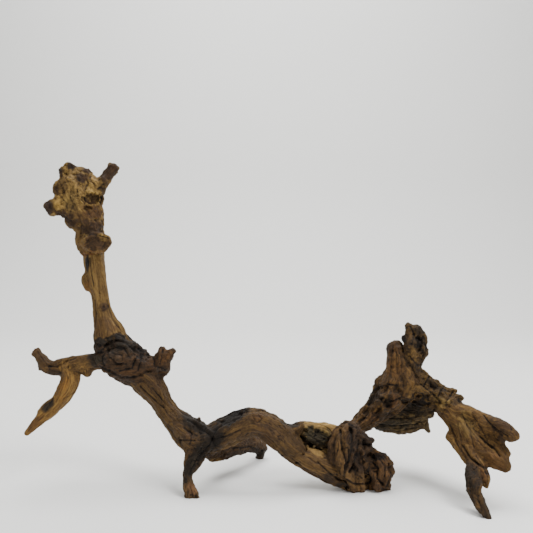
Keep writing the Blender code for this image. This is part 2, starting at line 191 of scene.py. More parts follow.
def limb(*stations, folds=0, fold_depth=0.0, twist=0.0, swirl=0.0, facing=(0.0, 1.0, 0.0), dome=DOME_SHARE):
    """A limb along a path: x, y, z, half-width and half-depth at each station, in millimetres.

    The half-depth is measured along the facing direction, the half-width square to it and the path.
    """
    rows = smooth_rows(np.array(stations, dtype=float))
    centre = rows[:, :3] - FOOTPRINT_MIDDLE
    ahead = np.gradient(centre, axis=0)
    step = np.linalg.norm(ahead, axis=1)
    ahead /= step[:, None]
    facing = np.array(facing)
    deep = facing - (ahead @ facing)[:, None] * ahead
    deep /= np.linalg.norm(deep, axis=1)[:, None]
    return {
        "centre": centre, "ahead": ahead, "deep": deep, "across": np.cross(deep, ahead),
        "wide": rows[:, 3], "thick": rows[:, 4], "along": np.cumsum(step) - step[0],
        "folds": folds, "fold_depth": fold_depth, "twist": twist, "swirl": swirl, "dome": dome,
    }


def limb_swell(shape, angle, share):
    """How far the folds swell a limb: 1 + depth x cos(folds x (angle + twist x share of length))."""
    return 1 + shape["fold_depth"] * np.cos(shape["folds"] * (angle + shape["twist"] * share))


def limb_surface(shape):
    """The limb's oval rings as a grid of points, closed by a dome of shrinking rings at each end.

    A dome's ring j lies sin(j) of the dome's height beyond the end and has cos(j) of the end's size.
    """
    rise = np.linspace(0, np.pi / 2, DOME_ROWS + 1)[1:]
    last = len(shape["centre"]) - 1
    row = np.concatenate([np.zeros(DOME_ROWS, int), np.arange(last + 1), np.full(DOME_ROWS, last)])
    size = np.concatenate([np.cos(rise[::-1]), np.ones(last + 1), np.cos(rise)])
    beyond = np.concatenate([-np.sin(rise[::-1]), np.zeros(last + 1), np.sin(rise)])
    beyond *= shape["dome"] * np.minimum(shape["wide"], shape["thick"])[row]
    angle = np.linspace(0, 2 * np.pi, RING_POINTS, endpoint=False)
    swell = limb_swell(shape, angle[None, :], (row / last)[:, None]) * size[:, None]
    wide = swell * shape["wide"][row][:, None] * np.cos(angle)
    thick = swell * shape["thick"][row][:, None] * np.sin(angle)
    middle = shape["centre"][row] + beyond[:, None] * shape["ahead"][row]
    across = shape["across"][row][:, None]
    deep = shape["deep"][row][:, None]
    points = middle[:, None] + wide[..., None] * across + thick[..., None] * deep
    return points.reshape(-1, 3), grid_faces(len(row), RING_POINTS, closed=True)


def dent(right, down, wide, tall, depth, turn=0.0, ragged=0.6):
    """An oval hollow, or a boss where the depth is below nought, in picture steps and millimetres."""
    return {
        "kind": "dent", "place": (right, down), "size": (wide, tall), "depth": depth, "turn": turn,
        "ragged": ragged,
    }


def groove(width, depth, *path):
    """A groove through places right and down in picture steps, or a seam where the depth is below 0."""
    path = np.array(path, dtype=float).reshape(-1, 2)
    return {"kind": "groove", "path": path, "width": width, "depth": depth}


def paint(colour, right, down, wide, tall, share=1.0, turn=0.0, ragged=0.8):
    """An oval patch of another colour, with a ragged edge."""
    return {
        "kind": "paint", "colour": linear(colour), "place": (right, down), "size": (wide, tall),
        "share": share, "turn": turn, "ragged": ragged,
    }


def linear(colour):
    """A colour as it looks on a screen, from 0 to 255, in the shader's linear values."""
    return (np.array(colour) / 255) ** 2.2


def branch(
    name, node, limbs, colours, fold, lump, rough, fibre, crack, warp=1.0, pit=0.0, bark=0.0, marks=(),
):
    """One branch: its limbs as closed surfaces in one object, which stands for its solid.

    The numbers are the heights of its relief in millimetres, and bark is the share that bark covers.
    """
    points, quads, count = [], [], 0
    for shape in limbs:
        ring_points, ring_quads = limb_surface(shape)
        points.append(ring_points)
        quads.append(ring_quads + count)
        count += len(ring_points)
    thing = new_object(name, new_mesh(name, np.vstack(points), np.vstack(quads)))
    thing.data.materials.append(wood(name + " wood"))
    amounts = np.concatenate([[fold, lump, rough, fibre, crack, warp, pit, bark], *map(linear, colours)])
    branches[name] = {"object": thing, "limbs": limbs, "amounts": amounts, "marks": marks}
    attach(thing, "root")
    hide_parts(node)


def wood(name):
    """Weathered wood: long streaks of three tones along the grain, specks, painted shade in hollows, a
    painted highlight on ridges.

    The fibres are noise stretched along the grain attribute, whose third value runs along the limb.
    """
    finish = bpy.data.materials.new(name)
    finish.use_nodes = True
    nodes, links = finish.node_tree.nodes, finish.node_tree.links
    shader = nodes["Principled BSDF"]

    def part(kind, output, sockets, **settings):
        """An output of a new node, whose sockets are linked to outputs or set to values."""
        node = nodes.new("ShaderNode" + kind)
        for key, value in settings.items():
            setattr(node, key, value)
        for key, value in sockets.items():
            if isinstance(value, bpy.types.NodeSocket):
                links.new(value, node.inputs[key])
            else:
                node.inputs[key].default_value = value
        return node.outputs[output]

    def noise(source, width, length, detail=3.0, roughness=0.55):
        """Noise between 0 and 1, with specks of a width across and a length along."""
        place = part("Mapping", "Vector", {"Vector": source, "Scale": (1 / width, 1 / width, 1 / length)})
        sockets = {"Vector": place, "Scale": 1.0, "Detail": detail, "Roughness": roughness}
        return part("TexNoise", "Fac", sockets)

    def ramp(source, low, high):
        """Values from low to high spread out over 0 to 1."""
        sockets = {"Value": source, "From Min": low, "From Max": high}
        return part("MapRange", "Result", sockets, interpolation_type="SMOOTHSTEP")

    def join(operation, one, other):
        """Two values joined by a sum or a product."""
        return part("Math", 0, {0: one, 1: other}, operation=operation)

    def mix(share, under, over):
        """The over colour laid on the under colour by a share, by the colour sockets of a Mix node."""
        return part("Mix", 2, {0: share, 6: under, 7: over}, data_type="RGBA")

    grain = part("Attribute", "Vector", {}, attribute_name="grain")
    painted_highlight, painted_shade = (part("Attribute", "Fac", {}, attribute_name=key) for key in ("painted_highlight", "painted_shade"))
    tone, streak, light = (part("Attribute", "Color", {}, attribute_name=key) for key in TONE_LAYERS)
    place = part("TexCoord", "Object", {})
    fibre = noise(grain, 1.0, 22.0, detail=4.0, roughness=0.7)
    band = noise(grain, 4.5, 40.0)
    patch = noise(place, 14 * MM, 14 * MM, detail=4.0)
    speck = noise(place, 1.6 * MM, 1.6 * MM, roughness=0.7)
    colour = mix(ramp(join("ADD", fibre, join("MULTIPLY", speck, 0.35)), 0.52, 0.84), streak, tone)
    colour = mix(ramp(join("ADD", band, join("MULTIPLY", fibre, 0.6)), 0.76, 1.02), colour, light)
    colour = mix(join("MULTIPLY", ramp(patch, 0.48, 0.7), 0.55), colour, streak)
    # Painted highlight: ridges and edges are lightened towards the light tone
    colour = mix(join("MULTIPLY", painted_highlight, 0.5), colour, light)
    # Painted shade: hollows, cracks and grooves are darkened towards near-black
    darkest_shade = (*linear(SHADE_BLACK), 1)
    colour = mix(join("MULTIPLY", painted_shade, 0.93), colour, darkest_shade)
    height = join("ADD", fibre, join("MULTIPLY", speck, 0.7))
    bump = part("Bump", "Normal", {"Strength": 0.9, "Distance": 0.8 * MM, "Height": height})
    links.new(colour, shader.inputs["Base Color"])
    links.new(join("ADD", join("MULTIPLY", fibre, 0.3), 0.6), shader.inputs["Roughness"])
    links.new(bump, shader.inputs["Normal"])
    shader.inputs["Specular IOR Level"].default_value = 0.25
    return finish


branch(
    "head_burl", "head",
    [
        limb((-213, 14, 348, 7, 8), (-211, 14, 340, 18.5, 17), (-210, 14, 326, 25, 22),
             (-209, 14, 308, 24, 22), (-205, 14, 294, 20, 21), (-200, 14, 280, 15.5, 18),
             (-199, 14, 266, 14.5, 16), (-195, 14, 254, 12, 13),
             folds=5, fold_depth=0.06, twist=1.2, swirl=0.02),
        limb((-220, 10, 312, 15, 14), (-230, 6, 306.5, 11.5, 12), (-236, 4, 303.5, 10, 10),
             (-241, 2, 300.5, 7.5, 7.5)),
        limb((-222, 10, 327, 12, 13), (-236, 8, 325, 7.5, 9)),
        limb((-218, 10, 338, 10, 10), (-229.5, 8, 347, 4.2, 4.5)),
        limb((-220, 8, 344, 7.5, 8), (-218, 6, 353.5, 4.4, 4.6)),
        limb((-208, 8, 334, 12, 11), (-201, 4, 345, 6, 6)),
        limb((-194, 14, 318, 8.5, 9), (-186, 14, 331, 7.5, 8), (-177.5, 14, 344, 6.6, 6.5),
             (-171, 14, 353, 6.2, 6), dome=0.0),
        limb((-179, 14, 346, 4.6, 5), (-176.5, 14, 354.5, 3.2, 3.6), (-175.5, 14, 356.2, 2.2, 2.6)),
        limb((-201, 14, 266, 12, 10), (-189, 0, 266, 15.5, 10.5), (-182, -9, 264.5, 16, 10.5),
             facing=(0.0, 0.0, 1.0), dome=0.1),
    ],
    ((118, 93, 50), (81, 60, 32), (155, 126, 70)),
    fold=0.7, lump=2.2, rough=1.2, fibre=0.45, crack=0.2, pit=1.0, bark=0.14,
    marks=[
        paint(HAZEL, 88, 224, 18, 17, 0.85), paint(HAZEL, 97, 246, 17, 13, 0.9),
        paint(HAZEL, 70, 214, 9, 8, 0.7), paint(SAND, 72, 186, 14, 14, 0.6),
        paint(HONEY, 57, 203, 6, 7, 0.9), paint(SAND, 96, 178, 8, 9, 0.8, -40),
        paint(STRAW, 72, 202, 8, 9, 0.6), paint(HAZEL, 62, 186, 5, 9, 0.6),
        paint(CHESTNUT, 92, 212, 11, 10, 0.8), paint(BARK, 71, 166.5, 5, 3),
        paint(BARK, 59.5, 171, 2.5, 6), paint(WALNUT, 83, 178, 6.5, 4.5, ragged=0.3),
        paint(WALNUT, 88, 170, 6, 3, ragged=0.3), paint(WALNUT, 110, 172, 7, 13, 1.0, 42, ragged=0.25),
        paint(UMBER, 55, 189, 3.5, 7, 0.9), paint(BARK, 48.5, 208, 5.5, 8.5, ragged=0.2),
        paint(WALNUT, 60, 214, 10, 2.4, 1.0, 25), paint(WALNUT, 68, 219, 9, 5, 0.95, 40),
        paint(BARK, 104, 190, 3, 10, 0.8), paint(CHESTNUT, 98, 212, 7, 5, 0.5),
        # The first patch on the next line is painted shadow in the head's deep recess
        paint(WALNUT, 93, 199, 9, 5, 0.8), paint(WALNUT, 92, 229, 14, 8, 0.9),
        paint(UMBER, 97, 244, 12, 7, ragged=0.4), paint(RUST, 89, 255, 15, 3, 0.9),
        paint(TAN, 78, 244, 4, 14, 0.8), dent(92, 199, 10, 6, 6.0, -8), dent(94, 192.5, 10, 3, -2.0),
        dent(88, 208, 4, 2.4, 5.0), dent(97, 244, 10.5, 6, 3.0, ragged=0.2),
        dent(49, 207, 2.4, 3, 1.2, ragged=0.2), dent(83, 178, 6, 5, -1.5), dent(72, 190, 3, 4, 2.0),
        dent(63, 178, 4, 4, -1.5), dent(100, 180, 6, 5, -1.5),
        groove(1.3, 2.0, 84, 236, 94, 234, 108, 238), groove(1.1, 2.0, 80, 252, 92, 258, 104, 253),
        groove(1.2, 1.0, 68, 192, 73, 204, 70, 214), groove(1.0, 0.9, 60, 181, 64, 192),
        groove(0.8, 0.9, 76, 172, 79, 182, 77, 192), groove(0.8, 0.8, 66, 176, 69, 184),
        groove(0.8, 0.9, 60, 196, 66, 202, 68, 210), groove(0.8, 0.9, 78, 214, 82, 224, 80, 236),
        groove(0.9, 1.2, 92, 172, 90, 180, 96, 186), groove(0.9, 1.1, 62, 214, 70, 220, 74, 228),
        groove(1.4, 1.2, 88, 182, 84, 194, 86, 204), groove(1.0, 2.0, 101, 196, 101, 204),
        groove(0.9, 1.2, 90, 221, 100, 219, 104, 225), groove(1.2, 1.0, 103, 184, 98, 190),
    ],
)

# The neck: straight-grained wood, smooth and tan, with a splinter standing off its left side and a
# dark split at its top. It grows up out of the shoulder.
SOOT_AND_SHADE = (25, 19, 14)
DARK_BARK_AND_SHADE = (44, 32, 21)
AMBER = (122, 81, 40)
branch(
    "neck_limb", "neck",
    [
        limb((-196, 14, 262, 10, 11), (-194.5, 14, 251, 11, 12), (-191, 14, 224, 10.5, 11),
             (-187.5, 14, 208, 9.5, 10), (-185, 13, 194.5, 9.6, 10), (-181, 12, 179, 12, 12),
             (-176, 10, 164, 17, 16), (-172, 9, 152, 17, 17), folds=5, fold_depth=0.07, twist=0.6),
        limb((-194, 12, 236, 6, 6), (-202.5, 12, 225, 5, 5), (-200, 12, 212, 3, 3.5)),
    ],
    ((105, 81, 44), (74, 55, 30), (122, 96, 55)),
    fold=0.4, lump=0.6, rough=0.3, fibre=0.4, crack=0.25, warp=0.3,
    marks=[
        paint(SOOT_AND_SHADE, 87.4, 262, 1.8, 9, ragged=0.2), paint(WALNUT, 103, 307.5, 4, 3),
        paint(CHESTNUT, 103, 327, 12, 8, 0.6), paint(AMBER, 87, 290, 3, 8, 0.4),
        paint(WALNUT, 92, 343, 4, 6, 0.7), dent(103, 307, 3, 2.6, -1.4), dent(103, 307, 1.4, 1.0, 1.6),
        groove(0.8, 2.4, 90, 258, 91, 272, 94, 286), groove(0.5, 0.9, 97, 262, 99, 290, 101, 302),
        groove(0.7, 1.0, 107, 300, 112, 318, 122, 332), groove(0.7, 1.0, 95, 300, 96, 318, 94, 336),
        groove(1.2, 1.6, 88, 346, 98, 341, 108, 338, 120, 333),
        paint(DARK_BARK_AND_SHADE, 106, 347, 20, 7, 1.0, -12, ragged=0.7),
    ],
)

# The shoulder: a very dark burl, swirled like a whirlpool, whose bark ends in a lip above the trunk,
# and a fan-shaped snag that broke off short on its right.
BLACK_BARK = (38, 31, 21)
MOSS_GREY = (53, 48, 37)
branch(
    "shoulder_burl", "shoulder",
    [
        limb((-178, 12, 162, 15, 15), (-172, 9, 151, 20, 20), (-163, 9, 138, 22.5, 23),
             (-147, 9, 127, 21, 21), (-137, 9, 117, 17, 17),
             folds=6, fold_depth=0.05, twist=1.5, swirl=0.05),
        limb((-178, 9, 137, 11, 12), (-193, 9, 134, 8, 9)),
        limb((-138, 8, 118, 13, 11), (-127, 8, 121, 12, 10), (-119, 7, 132, 12, 8.5),
             (-112, 6, 142, 10.5, 7), dome=0.15),
        limb((-120, 6, 138, 6, 5.5), (-115, 6, 149.5, 4, 4)),
        limb((-112, 6, 138, 7, 6), (-104, 6, 147, 4.2, 4.2)),
        limb((-120, 6, 126, 8, 7), (-109, 6, 122, 5, 5)),
    ],
    ((56, 41, 26), (32, 24, 15), (76, 54, 33)),
    fold=0.8, lump=2.0, rough=1.0, fibre=0.3, crack=0.6, pit=1.4, bark=0.25,
    marks=[
        groove(1.3, 2.6, 100, 352, 110, 341, 124, 341, 134, 350),
        groove(1.3, 2.6, 137, 356, 132, 368, 120, 371),
        groove(1.0, 2.2, 104, 366, 102, 357, 112, 347, 124, 348, 130, 358),
        groove(1.1, 2.4, 126, 364, 116, 364, 110, 357), groove(0.9, 1.8, 115, 354, 122, 355, 122, 360),
        groove(0.9, 1.6, 108, 372, 100, 366), paint(BLACK_BARK, 114, 343, 24, 9, 0.9, 12, ragged=0.6),
        groove(1.3, 2.6, 92, 340, 100, 346, 112, 345), groove(1.0, 2.0, 92, 354, 104, 352, 112, 348),
        groove(1.3, 3.0, 108, 371, 122, 378, 136, 377, 150, 372),
        groove(1.2, 2.2, 138, 344, 142, 358, 138, 370), groove(1.2, 2.4, 152, 352, 155, 366),
        groove(0.8, 1.4, 163, 350, 160, 364), dent(140, 352, 4, 6, 2.5), dent(97, 360, 7, 5, -1.8),
        dent(120, 362, 5, 4, 1.6), dent(148, 375, 3, 3, 2.5), paint(UMBER, 121, 360, 10, 8, 0.7),
        paint(CHESTNUT, 165, 357, 6, 10, 0.8, 20), paint(MOSS_GREY, 94, 360, 7, 5, 0.8),
        paint(SOOT_AND_SHADE, 120, 335, 14, 3, 0.8, 20), paint(SOOT_AND_SHADE, 141, 352, 4, 9, 0.8),
        paint(CHESTNUT, 152, 362, 4, 8, 0.6), paint(CHESTNUT, 134, 374, 16, 3, 0.7, 8),
    ],
)

# The left arm: brown wood with golden patches, grown out of the shoulder. It ends in a raised prong
# with two lobes, and a long golden prong with a splinter hangs from it.
GREY_CHAR = (45, 37, 27)
RED_BROWN = (82, 56, 32)
GOLD = (133, 92, 41)
branch(
    "left_arm_limb", "left_arm",
    [
        limb((-184, 9, 134, 9.5, 10), (-199, 6, 132, 9.5, 10), (-209, 4, 130.5, 9.2, 9.5),
             (-222, 4, 129, 10, 10), (-234, 5, 126, 8.5, 9), (-244, 7, 128.5, 7.3, 7.5),
             (-252, 9, 137, 5.6, 6), (-258, 11, 147, 3.6, 4), folds=4, fold_depth=0.07, twist=1.0),
        limb((-253, 9, 138, 4, 4), (-262, 10, 142.5, 2.6, 3)),
        limb((-244, 6, 126, 4.5, 4.5), (-253, 5, 125.5, 2.2, 2.4)),
        limb((-200, 4, 127, 9, 8), (-198, 3, 119.5, 4.6, 4.6), dome=0.5),
    ],
    ((80, 59, 33), (48, 34, 20), (100, 75, 41)),
    fold=0.9, lump=1.3, rough=0.5, fibre=0.4, crack=0.5, warp=0.6, pit=0.5, bark=0.12,
    marks=[
        paint(TAN, 84, 366, 8, 8, 0.6), paint(UMBER, 45, 356, 6, 8, 0.6, -40),
        paint(DARK_BARK_AND_SHADE, 58, 372, 10, 3, 0.8), paint(RED_BROWN, 33, 350, 3, 4, 0.6),
        groove(1.0, 1.8, 46, 366, 56, 367, 66, 361, 76, 358), groove(0.8, 1.4, 52, 371, 60, 372, 68, 367),
        groove(0.7, 1.0, 38, 352, 45, 362), dent(80, 358, 5, 3, -1.2), dent(70, 368, 4, 2.5, 1.6),
        groove(0.7, 1.2, 76, 372, 84, 374), paint(GREY_CHAR, 94, 361, 6, 6, 0.95),
    ],
)
branch(
    "lower_prong_limb", "lower_prong",
    [
        limb((-220, 3, 129, 9, 9), (-216, 1, 117, 9.9, 9.5), (-220, -3, 102, 9.3, 9),
             (-227, -6, 91.5, 8.2, 8), (-235.5, -9, 81.5, 7, 7), (-244, -12, 73.7, 5.9, 6),
             (-251, -15, 66, 4.2, 4.5), (-256.5, -17, 60, 2.8, 3), folds=4, fold_depth=0.08, twist=0.8),
        limb((-230, -8, 96, 3, 4), (-238, -10, 91, 2.2, 4), (-245.5, -11, 81, 1.8, 2.6)),
    ],
    ((110, 82, 42), (73, 52, 27), (130, 99, 51)),
    fold=0.5, lump=0.9, rough=0.4, fibre=0.4, crack=0.4, warp=0.4,
    marks=[
        paint(GREY_CHAR, 48, 406, 3.4, 8, 1.0, 42, ragged=0.3), paint(GOLD, 64, 388, 4, 10, 0.6, 20),
        paint(RED_BROWN, 34, 424, 8, 4, 0.7, -45), groove(0.7, 1.0, 70, 374, 64, 390, 56, 402),
        groove(0.9, 1.6, 53, 398, 46, 410), groove(0.6, 0.8, 44, 416, 34, 426),
    ],
)

# The trunk, with the front foot and the rear root that grow from its lower end: brown wood with long
# grooves. Charred bark lies on the crossing, deepened there by painted shade where the limbs cross,
# and runs on over the foot and the arch.
INK = (30, 23, 15)
CHAR_AND_SHADE = (35, 27, 17)
ROSE_BROWN = (106, 77, 52)
char_and_crossing_shade = [
    # The ink patch on the next line is painted shade where the limbs cross, laid over the charred bark
    paint(CHAR_AND_SHADE, 197, 425, 19, 7, 1.0, 32, ragged=0.3), paint(INK, 213, 438, 10, 14, 1.0, 12, ragged=0.3),
    paint(CHAR_AND_SHADE, 201, 451, 7, 15, 1.0, 38, ragged=0.3),
    paint(BLACK_BARK, 190, 467, 6, 13, 1.0, 22, ragged=0.3),
    groove(1.0, 2.0, 188, 420, 198, 426, 210, 436, 216, 448),
    groove(0.9, 2.0, 216, 430, 210, 444, 198, 458, 189, 474),
    groove(0.9, -1.6, 205, 438, 198, 450, 188, 462), groove(0.8, -1.4, 211, 446, 202, 460, 194, 472),
    groove(0.8, 2.4, 180, 441, 188, 440, 195, 441), groove(0.9, -1.5, 192, 420, 204, 427, 212, 432),
]
branch(
    "trunk_limb", "trunk",
    [
        limb((-140, 9, 117, 15, 15), (-133, 8, 111, 16, 17), (-121, 4, 98, 12.5, 14),
             (-113.6, 2, 86, 10.5, 12), (-107, -1, 78, 11, 12.5), (-97, -4, 69, 12.5, 14),
             (-86, -8, 61, 15.5, 17), (-76, -10, 54, 17, 18), (-67, -11, 50, 13.5, 14),
             folds=6, fold_depth=0.08, twist=0.5),
        limb((-76, -12, 68, 4.5, 6), (-72, -12, 76.5, 2, 3)),
    ],
    ((74, 54, 29), (43, 31, 17), (91, 69, 37)),
    fold=1.0, lump=0.9, rough=0.6, fibre=0.5, crack=0.6, warp=0.5, pit=0.4, bark=0.12,
    marks=[
        groove(0.8, 2.2, 140, 386, 152, 398, 164, 408), groove(0.8, 1.4, 133, 388, 146, 404, 160, 420),
        groove(0.8, 1.4, 152, 388, 164, 402, 176, 414), groove(0.9, 1.4, 168, 424, 178, 436, 182, 448),
        groove(0.9, 1.8, 184, 428, 192, 434, 190, 444), paint(WALNUT, 189, 437, 6, 4, 0.7),
        paint(TAN, 128, 388, 9, 5, 0.6, 40), paint(WALNUT, 155, 384, 5, 8, 0.6),
        dent(200, 430, 10, 4, 2.0, 35), dent(206, 440, 5, 5, 2.5), dent(190, 438, 5, 4, -1.6),
        dent(170, 418, 6, 4, -1.0),
    ] + char_and_crossing_shade,
)
branch(
    "front_foot_limb", "front_foot",
    [
        limb((-76, -12, 50, 13, 13), (-77, -18, 38, 10, 11), (-80, -24, 27.5, 7.6, 9),
             (-82.5, -28, 20.5, 5.4, 7), (-81.5, -30, 12, 5.4, 6.8), (-79, -32, 3, 6, 6.5),
             (-79, -32, -4, 6, 6.5), folds=4, fold_depth=0.1, twist=0.5),
        limb((-81, -31, 10, 5, 5), (-75, -33, 4, 4.5, 5), (-73, -34, -3, 4.5, 5)),
    ],
    ((74, 54, 33), (42, 31, 20), (94, 71, 42)),
    fold=0.8, lump=1.2, rough=0.6, fibre=0.5, crack=0.8, pit=0.5, bark=0.1,
    marks=[
        paint(ROSE_BROWN, 194, 489, 7, 5, 0.8), paint(BLACK_BARK, 183, 480, 4, 5, 0.8),
        groove(0.8, 1.6, 184, 456, 181, 470), dent(183, 479, 3.5, 4, 1.8),
        groove(0.7, 1.4, 190, 486, 193, 496),
    ] + char_and_crossing_shade,
)
branch(
    "rear_root_limb", "rear_root",
    [
        limb((-65, -6, 44, 10, 11), (-61, 5, 34, 9, 9), (-55, 17, 28.5, 9, 9), (-44, 32, 28, 9.8, 10),
             (-30, 50, 27, 10.5, 10), (-17, 64, 23, 9.5, 9.5), (-8, 76, 14, 7.4, 7.5),
             (-8, 80, 6, 6, 6.5), (-9, 81, -4, 6, 6), folds=5, fold_depth=0.08, twist=0.8),
        limb((-56, 10, 27, 7, 7), (-64, 10, 23, 4, 4.5)),
    ],
    ((60, 43, 26), (36, 26, 16), (78, 58, 34)),
    fold=0.9, lump=1.6, rough=0.8, fibre=0.5, crack=0.8, pit=1.0, bark=0.15,
    marks=[
        dent(214, 458, 8, 5, 3.0), paint(TAN, 217, 462, 6, 4, 0.8),
        # The ink patch on the next line is painted shadow under the arch
        groove(1.1, 2.0, 232, 448, 250, 447, 266, 452), paint(INK, 255, 455, 16, 5, 0.7),
    ],
)

# The arch: a warm brown root that bows up from the crossing, with bark on its left. It goes over
# into the beam, which slopes to the ground, and the pale hollowed log lies grown in behind that.
OLIVE_GREY = (66, 58, 40)
PALE_SAND = (142, 115, 64)
branch(
    "arch_limb", "arch",
    [
        limb((-70, -11, 49, 14, 15), (-58, -11, 54, 14.5, 16), (-39, -11, 62.5, 15.5, 17),
             (-18, -11, 71, 15, 16), (-1, -11, 67.5, 14, 15.5), (14, -11, 56, 14.5, 16),
             (26, -11, 45, 14, 15.5), (34, -11, 38, 12, 14), folds=6, fold_depth=0.06, twist=0.7),
        limb((6, -9, 58, 9, 11), (24, -8, 59, 8.5, 10), (36, -6, 65, 5, 7), (38, -6, 70, 2.6, 4)),
    ],
    ((74, 55, 30), (47, 34, 19), (93, 70, 38)),
    fold=0.7, lump=1.4, rough=0.5, fibre=0.4, crack=0.45, warp=0.6, pit=0.4, bark=0.1,
    marks=[
        dent(232, 417, 13, 5, 4.0, -33), dent(223, 429, 9, 3.5, -1.8, -30), dent(244, 413, 3, 5, 2.6),
        groove(0.9, 1.8, 215, 430, 226, 421, 238, 412), groove(0.8, -1.8, 221, 425, 231, 417, 243, 409),
        dent(257, 419, 5, 5, -1.4), groove(0.7, 1.4, 253, 417, 257, 423, 262, 419, 258, 415),
        groove(0.9, 1.6, 246, 412, 262, 410, 276, 414), groove(1.0, 1.6, 212, 440, 226, 436, 240, 430),
        groove(1.2, 2.2, 216, 462, 240, 448, 262, 446, 282, 456),
        groove(0.7, 1.0, 282, 418, 292, 428, 304, 440), groove(1.2, 2.4, 288, 421, 297, 424),
        dent(209, 456, 5, 4, 3.0), dent(248, 456, 26, 6, 3.5, 4), dent(228, 448, 12, 3, -1.6, -35),
        paint(INK, 232, 417, 19, 7.5, 1.0, -33, ragged=0.3), paint(CHESTNUT, 257, 419, 5, 5, 0.7),
        # The first patch on the next line is painted shade on the arch's hollow underside
        paint(DARK_BARK_AND_SHADE, 250, 455, 28, 7, 0.9, 6), paint(BLACK_BARK, 290, 423, 8, 3, 1.0, 15),
        paint(WALNUT, 268, 434, 14, 8, 0.6), paint(TAN, 226, 450, 12, 3.5, 0.6, -35),
    ] + char_and_crossing_shade,
)
branch(
    "beam_limb", "beam",
    [
        limb((31, -11, 40, 11.5, 13.5), (43, -11, 31.5, 11, 13.5), (61, -12, 23.5, 12.5, 13.5),
             (77, -13, 14, 11, 12), (90, -14, 4, 6, 8), folds=4, fold_depth=0.08, twist=0.4),
    ],
    ((84, 62, 33), (55, 40, 22), (106, 81, 45)),
    fold=0.5, lump=1.0, rough=0.4, fibre=0.4, crack=0.35, warp=0.5, bark=0.05,
    marks=[
        groove(1.0, 2.8, 318, 462, 326, 470, 338, 480, 352, 484), groove(0.7, 1.0, 300, 452, 318, 464),
        groove(0.7, 1.0, 296, 462, 312, 474, 330, 484), paint(SAND, 308, 447, 15, 3, 0.85, 33),
        paint(WALNUT, 312, 478, 20, 4, 0.8, 32), paint(DARK_BARK_AND_SHADE, 331, 479, 13, 5, 0.8, 25),
        paint(CHAR_AND_SHADE, 345, 485, 9, 3, 0.8), dent(340, 478, 7, 3, 1.6, 25), dent(316, 455, 8, 5, -1.2, 35),
    ],
)
branch(
    "pale_log_limb", "pale_log",
    [
        limb((31, 2, 56, 11, 12), (40, 4, 53, 14, 13.5), (57, 4, 52, 14, 13.5), (72, 4, 50.5, 13.5, 13),
             (84, 3, 50, 11, 12), folds=5, fold_depth=0.05, twist=0.3),
        limb((52, 2, 40, 9, 9), (68, 0, 32, 10, 9), (82, -2, 26, 10, 9)),
    ],
    ((132, 104, 56), (88, 65, 36), (157, 127, 69)),
    fold=0.6, lump=1.0, rough=0.5, fibre=0.5, crack=0.8,
    marks=[
        dent(317, 439, 16, 9, 3.4, 22, ragged=0.3),
        paint(OLIVE_GREY, 317, 438, 18, 10, 1.0, 22, ragged=0.4),
        paint(GREY_CHAR, 321, 444, 11, 5, 0.7, 28), groove(0.6, 1.4, 304, 429, 316, 436, 330, 443),
        groove(0.8, 1.8, 302, 425, 309, 435, 322, 444), groove(0.8, 1.6, 299, 429, 305, 440, 312, 447),
        groove(0.7, 1.6, 308, 426, 318, 433, 332, 439), paint(BLACK_BARK, 297, 421, 5, 5),
        paint(PALE_SAND, 301, 436, 3, 8, 0.8, -25), paint(GREY_CHAR, 338, 440, 6, 9, 0.9),
        groove(0.6, 1.0, 312, 422, 334, 424), paint(TAN, 320, 454, 11, 6, 0.9),
    ],
)

# The root mass: dark wood in deep folds like drapery, with two curled hooks, where the beam, the
# log and the crown grow together. The round knob beside it is cracked all over.
RUSSET = (99, 70, 39)
branch(
    "root_mass_limb", "root_mass",
    [
        limb((93, -10, 67, 10, 12), (87, -11, 54, 16.5, 17), (85.5, -11, 36, 19.5, 20),
             (91, -12, 19.5, 18.5, 18), (94, -13, 6.5, 14, 13), (95, -13, -4, 10, 9),
             folds=8, fold_depth=0.13, twist=0.7),
        limb((98, -14, 58, 7, 8), (107, -15, 55, 4.6, 5), (114.5, -15, 51.5, 3, 3.6)),
        limb((99, -14, 45, 6.5, 7), (107, -15, 43, 4, 4.6), (113, -15, 43.5, 2.6, 3)),
        limb((100, -6, 50, 10, 8), (107, -6, 42, 8, 8), (110, -6, 34, 8, 7)),
    ],
    ((60, 44, 27), (34, 24, 15), (82, 60, 36)),
    fold=1.2, lump=1.6, rough=0.6, fibre=0.5, crack=0.7, warp=0.7, pit=0.8, bark=0.1,
    marks=[
        groove(1.5, 3.6, 340, 430, 342, 446, 346, 462, 344, 476),
        groove(1.5, 3.6, 350, 428, 352, 444, 349, 460, 346, 470),
        groove(1.4, 3.2, 359, 440, 356, 456, 350, 472), groove(1.2, 2.6, 344, 478, 354, 484, 368, 484),
        groove(1.0, 2.0, 336, 426, 346, 422, 356, 428), dent(357, 462, 7, 11, 3.5, 15),
        dent(362, 446, 4, 4, 3.0), groove(1.5, -2.0, 345, 432, 347, 448, 344, 464),
        # The dark patch at the end of the next line and the one that starts the line after are painted
        # shade where the mass's right side recedes
        paint(HAZEL, 342, 455, 4, 20, 0.7), paint(DARK_BARK_AND_SHADE, 368, 446, 8, 10, 0.9),
        paint(DARK_BARK_AND_SHADE, 358, 438, 10, 12, 0.6), groove(0.6, 1.0, 362, 440, 372, 441),
        groove(0.6, 1.0, 360, 444, 370, 445), groove(0.8, 1.6, 352, 466, 356, 474, 362, 478),
        paint(HAZEL, 352, 480, 24, 9, 0.85, 4), paint(HAZEL, 341, 452, 6, 26, 0.7),
        paint(DARK_BARK_AND_SHADE, 357, 462, 6, 12, 0.8),
    ],
)
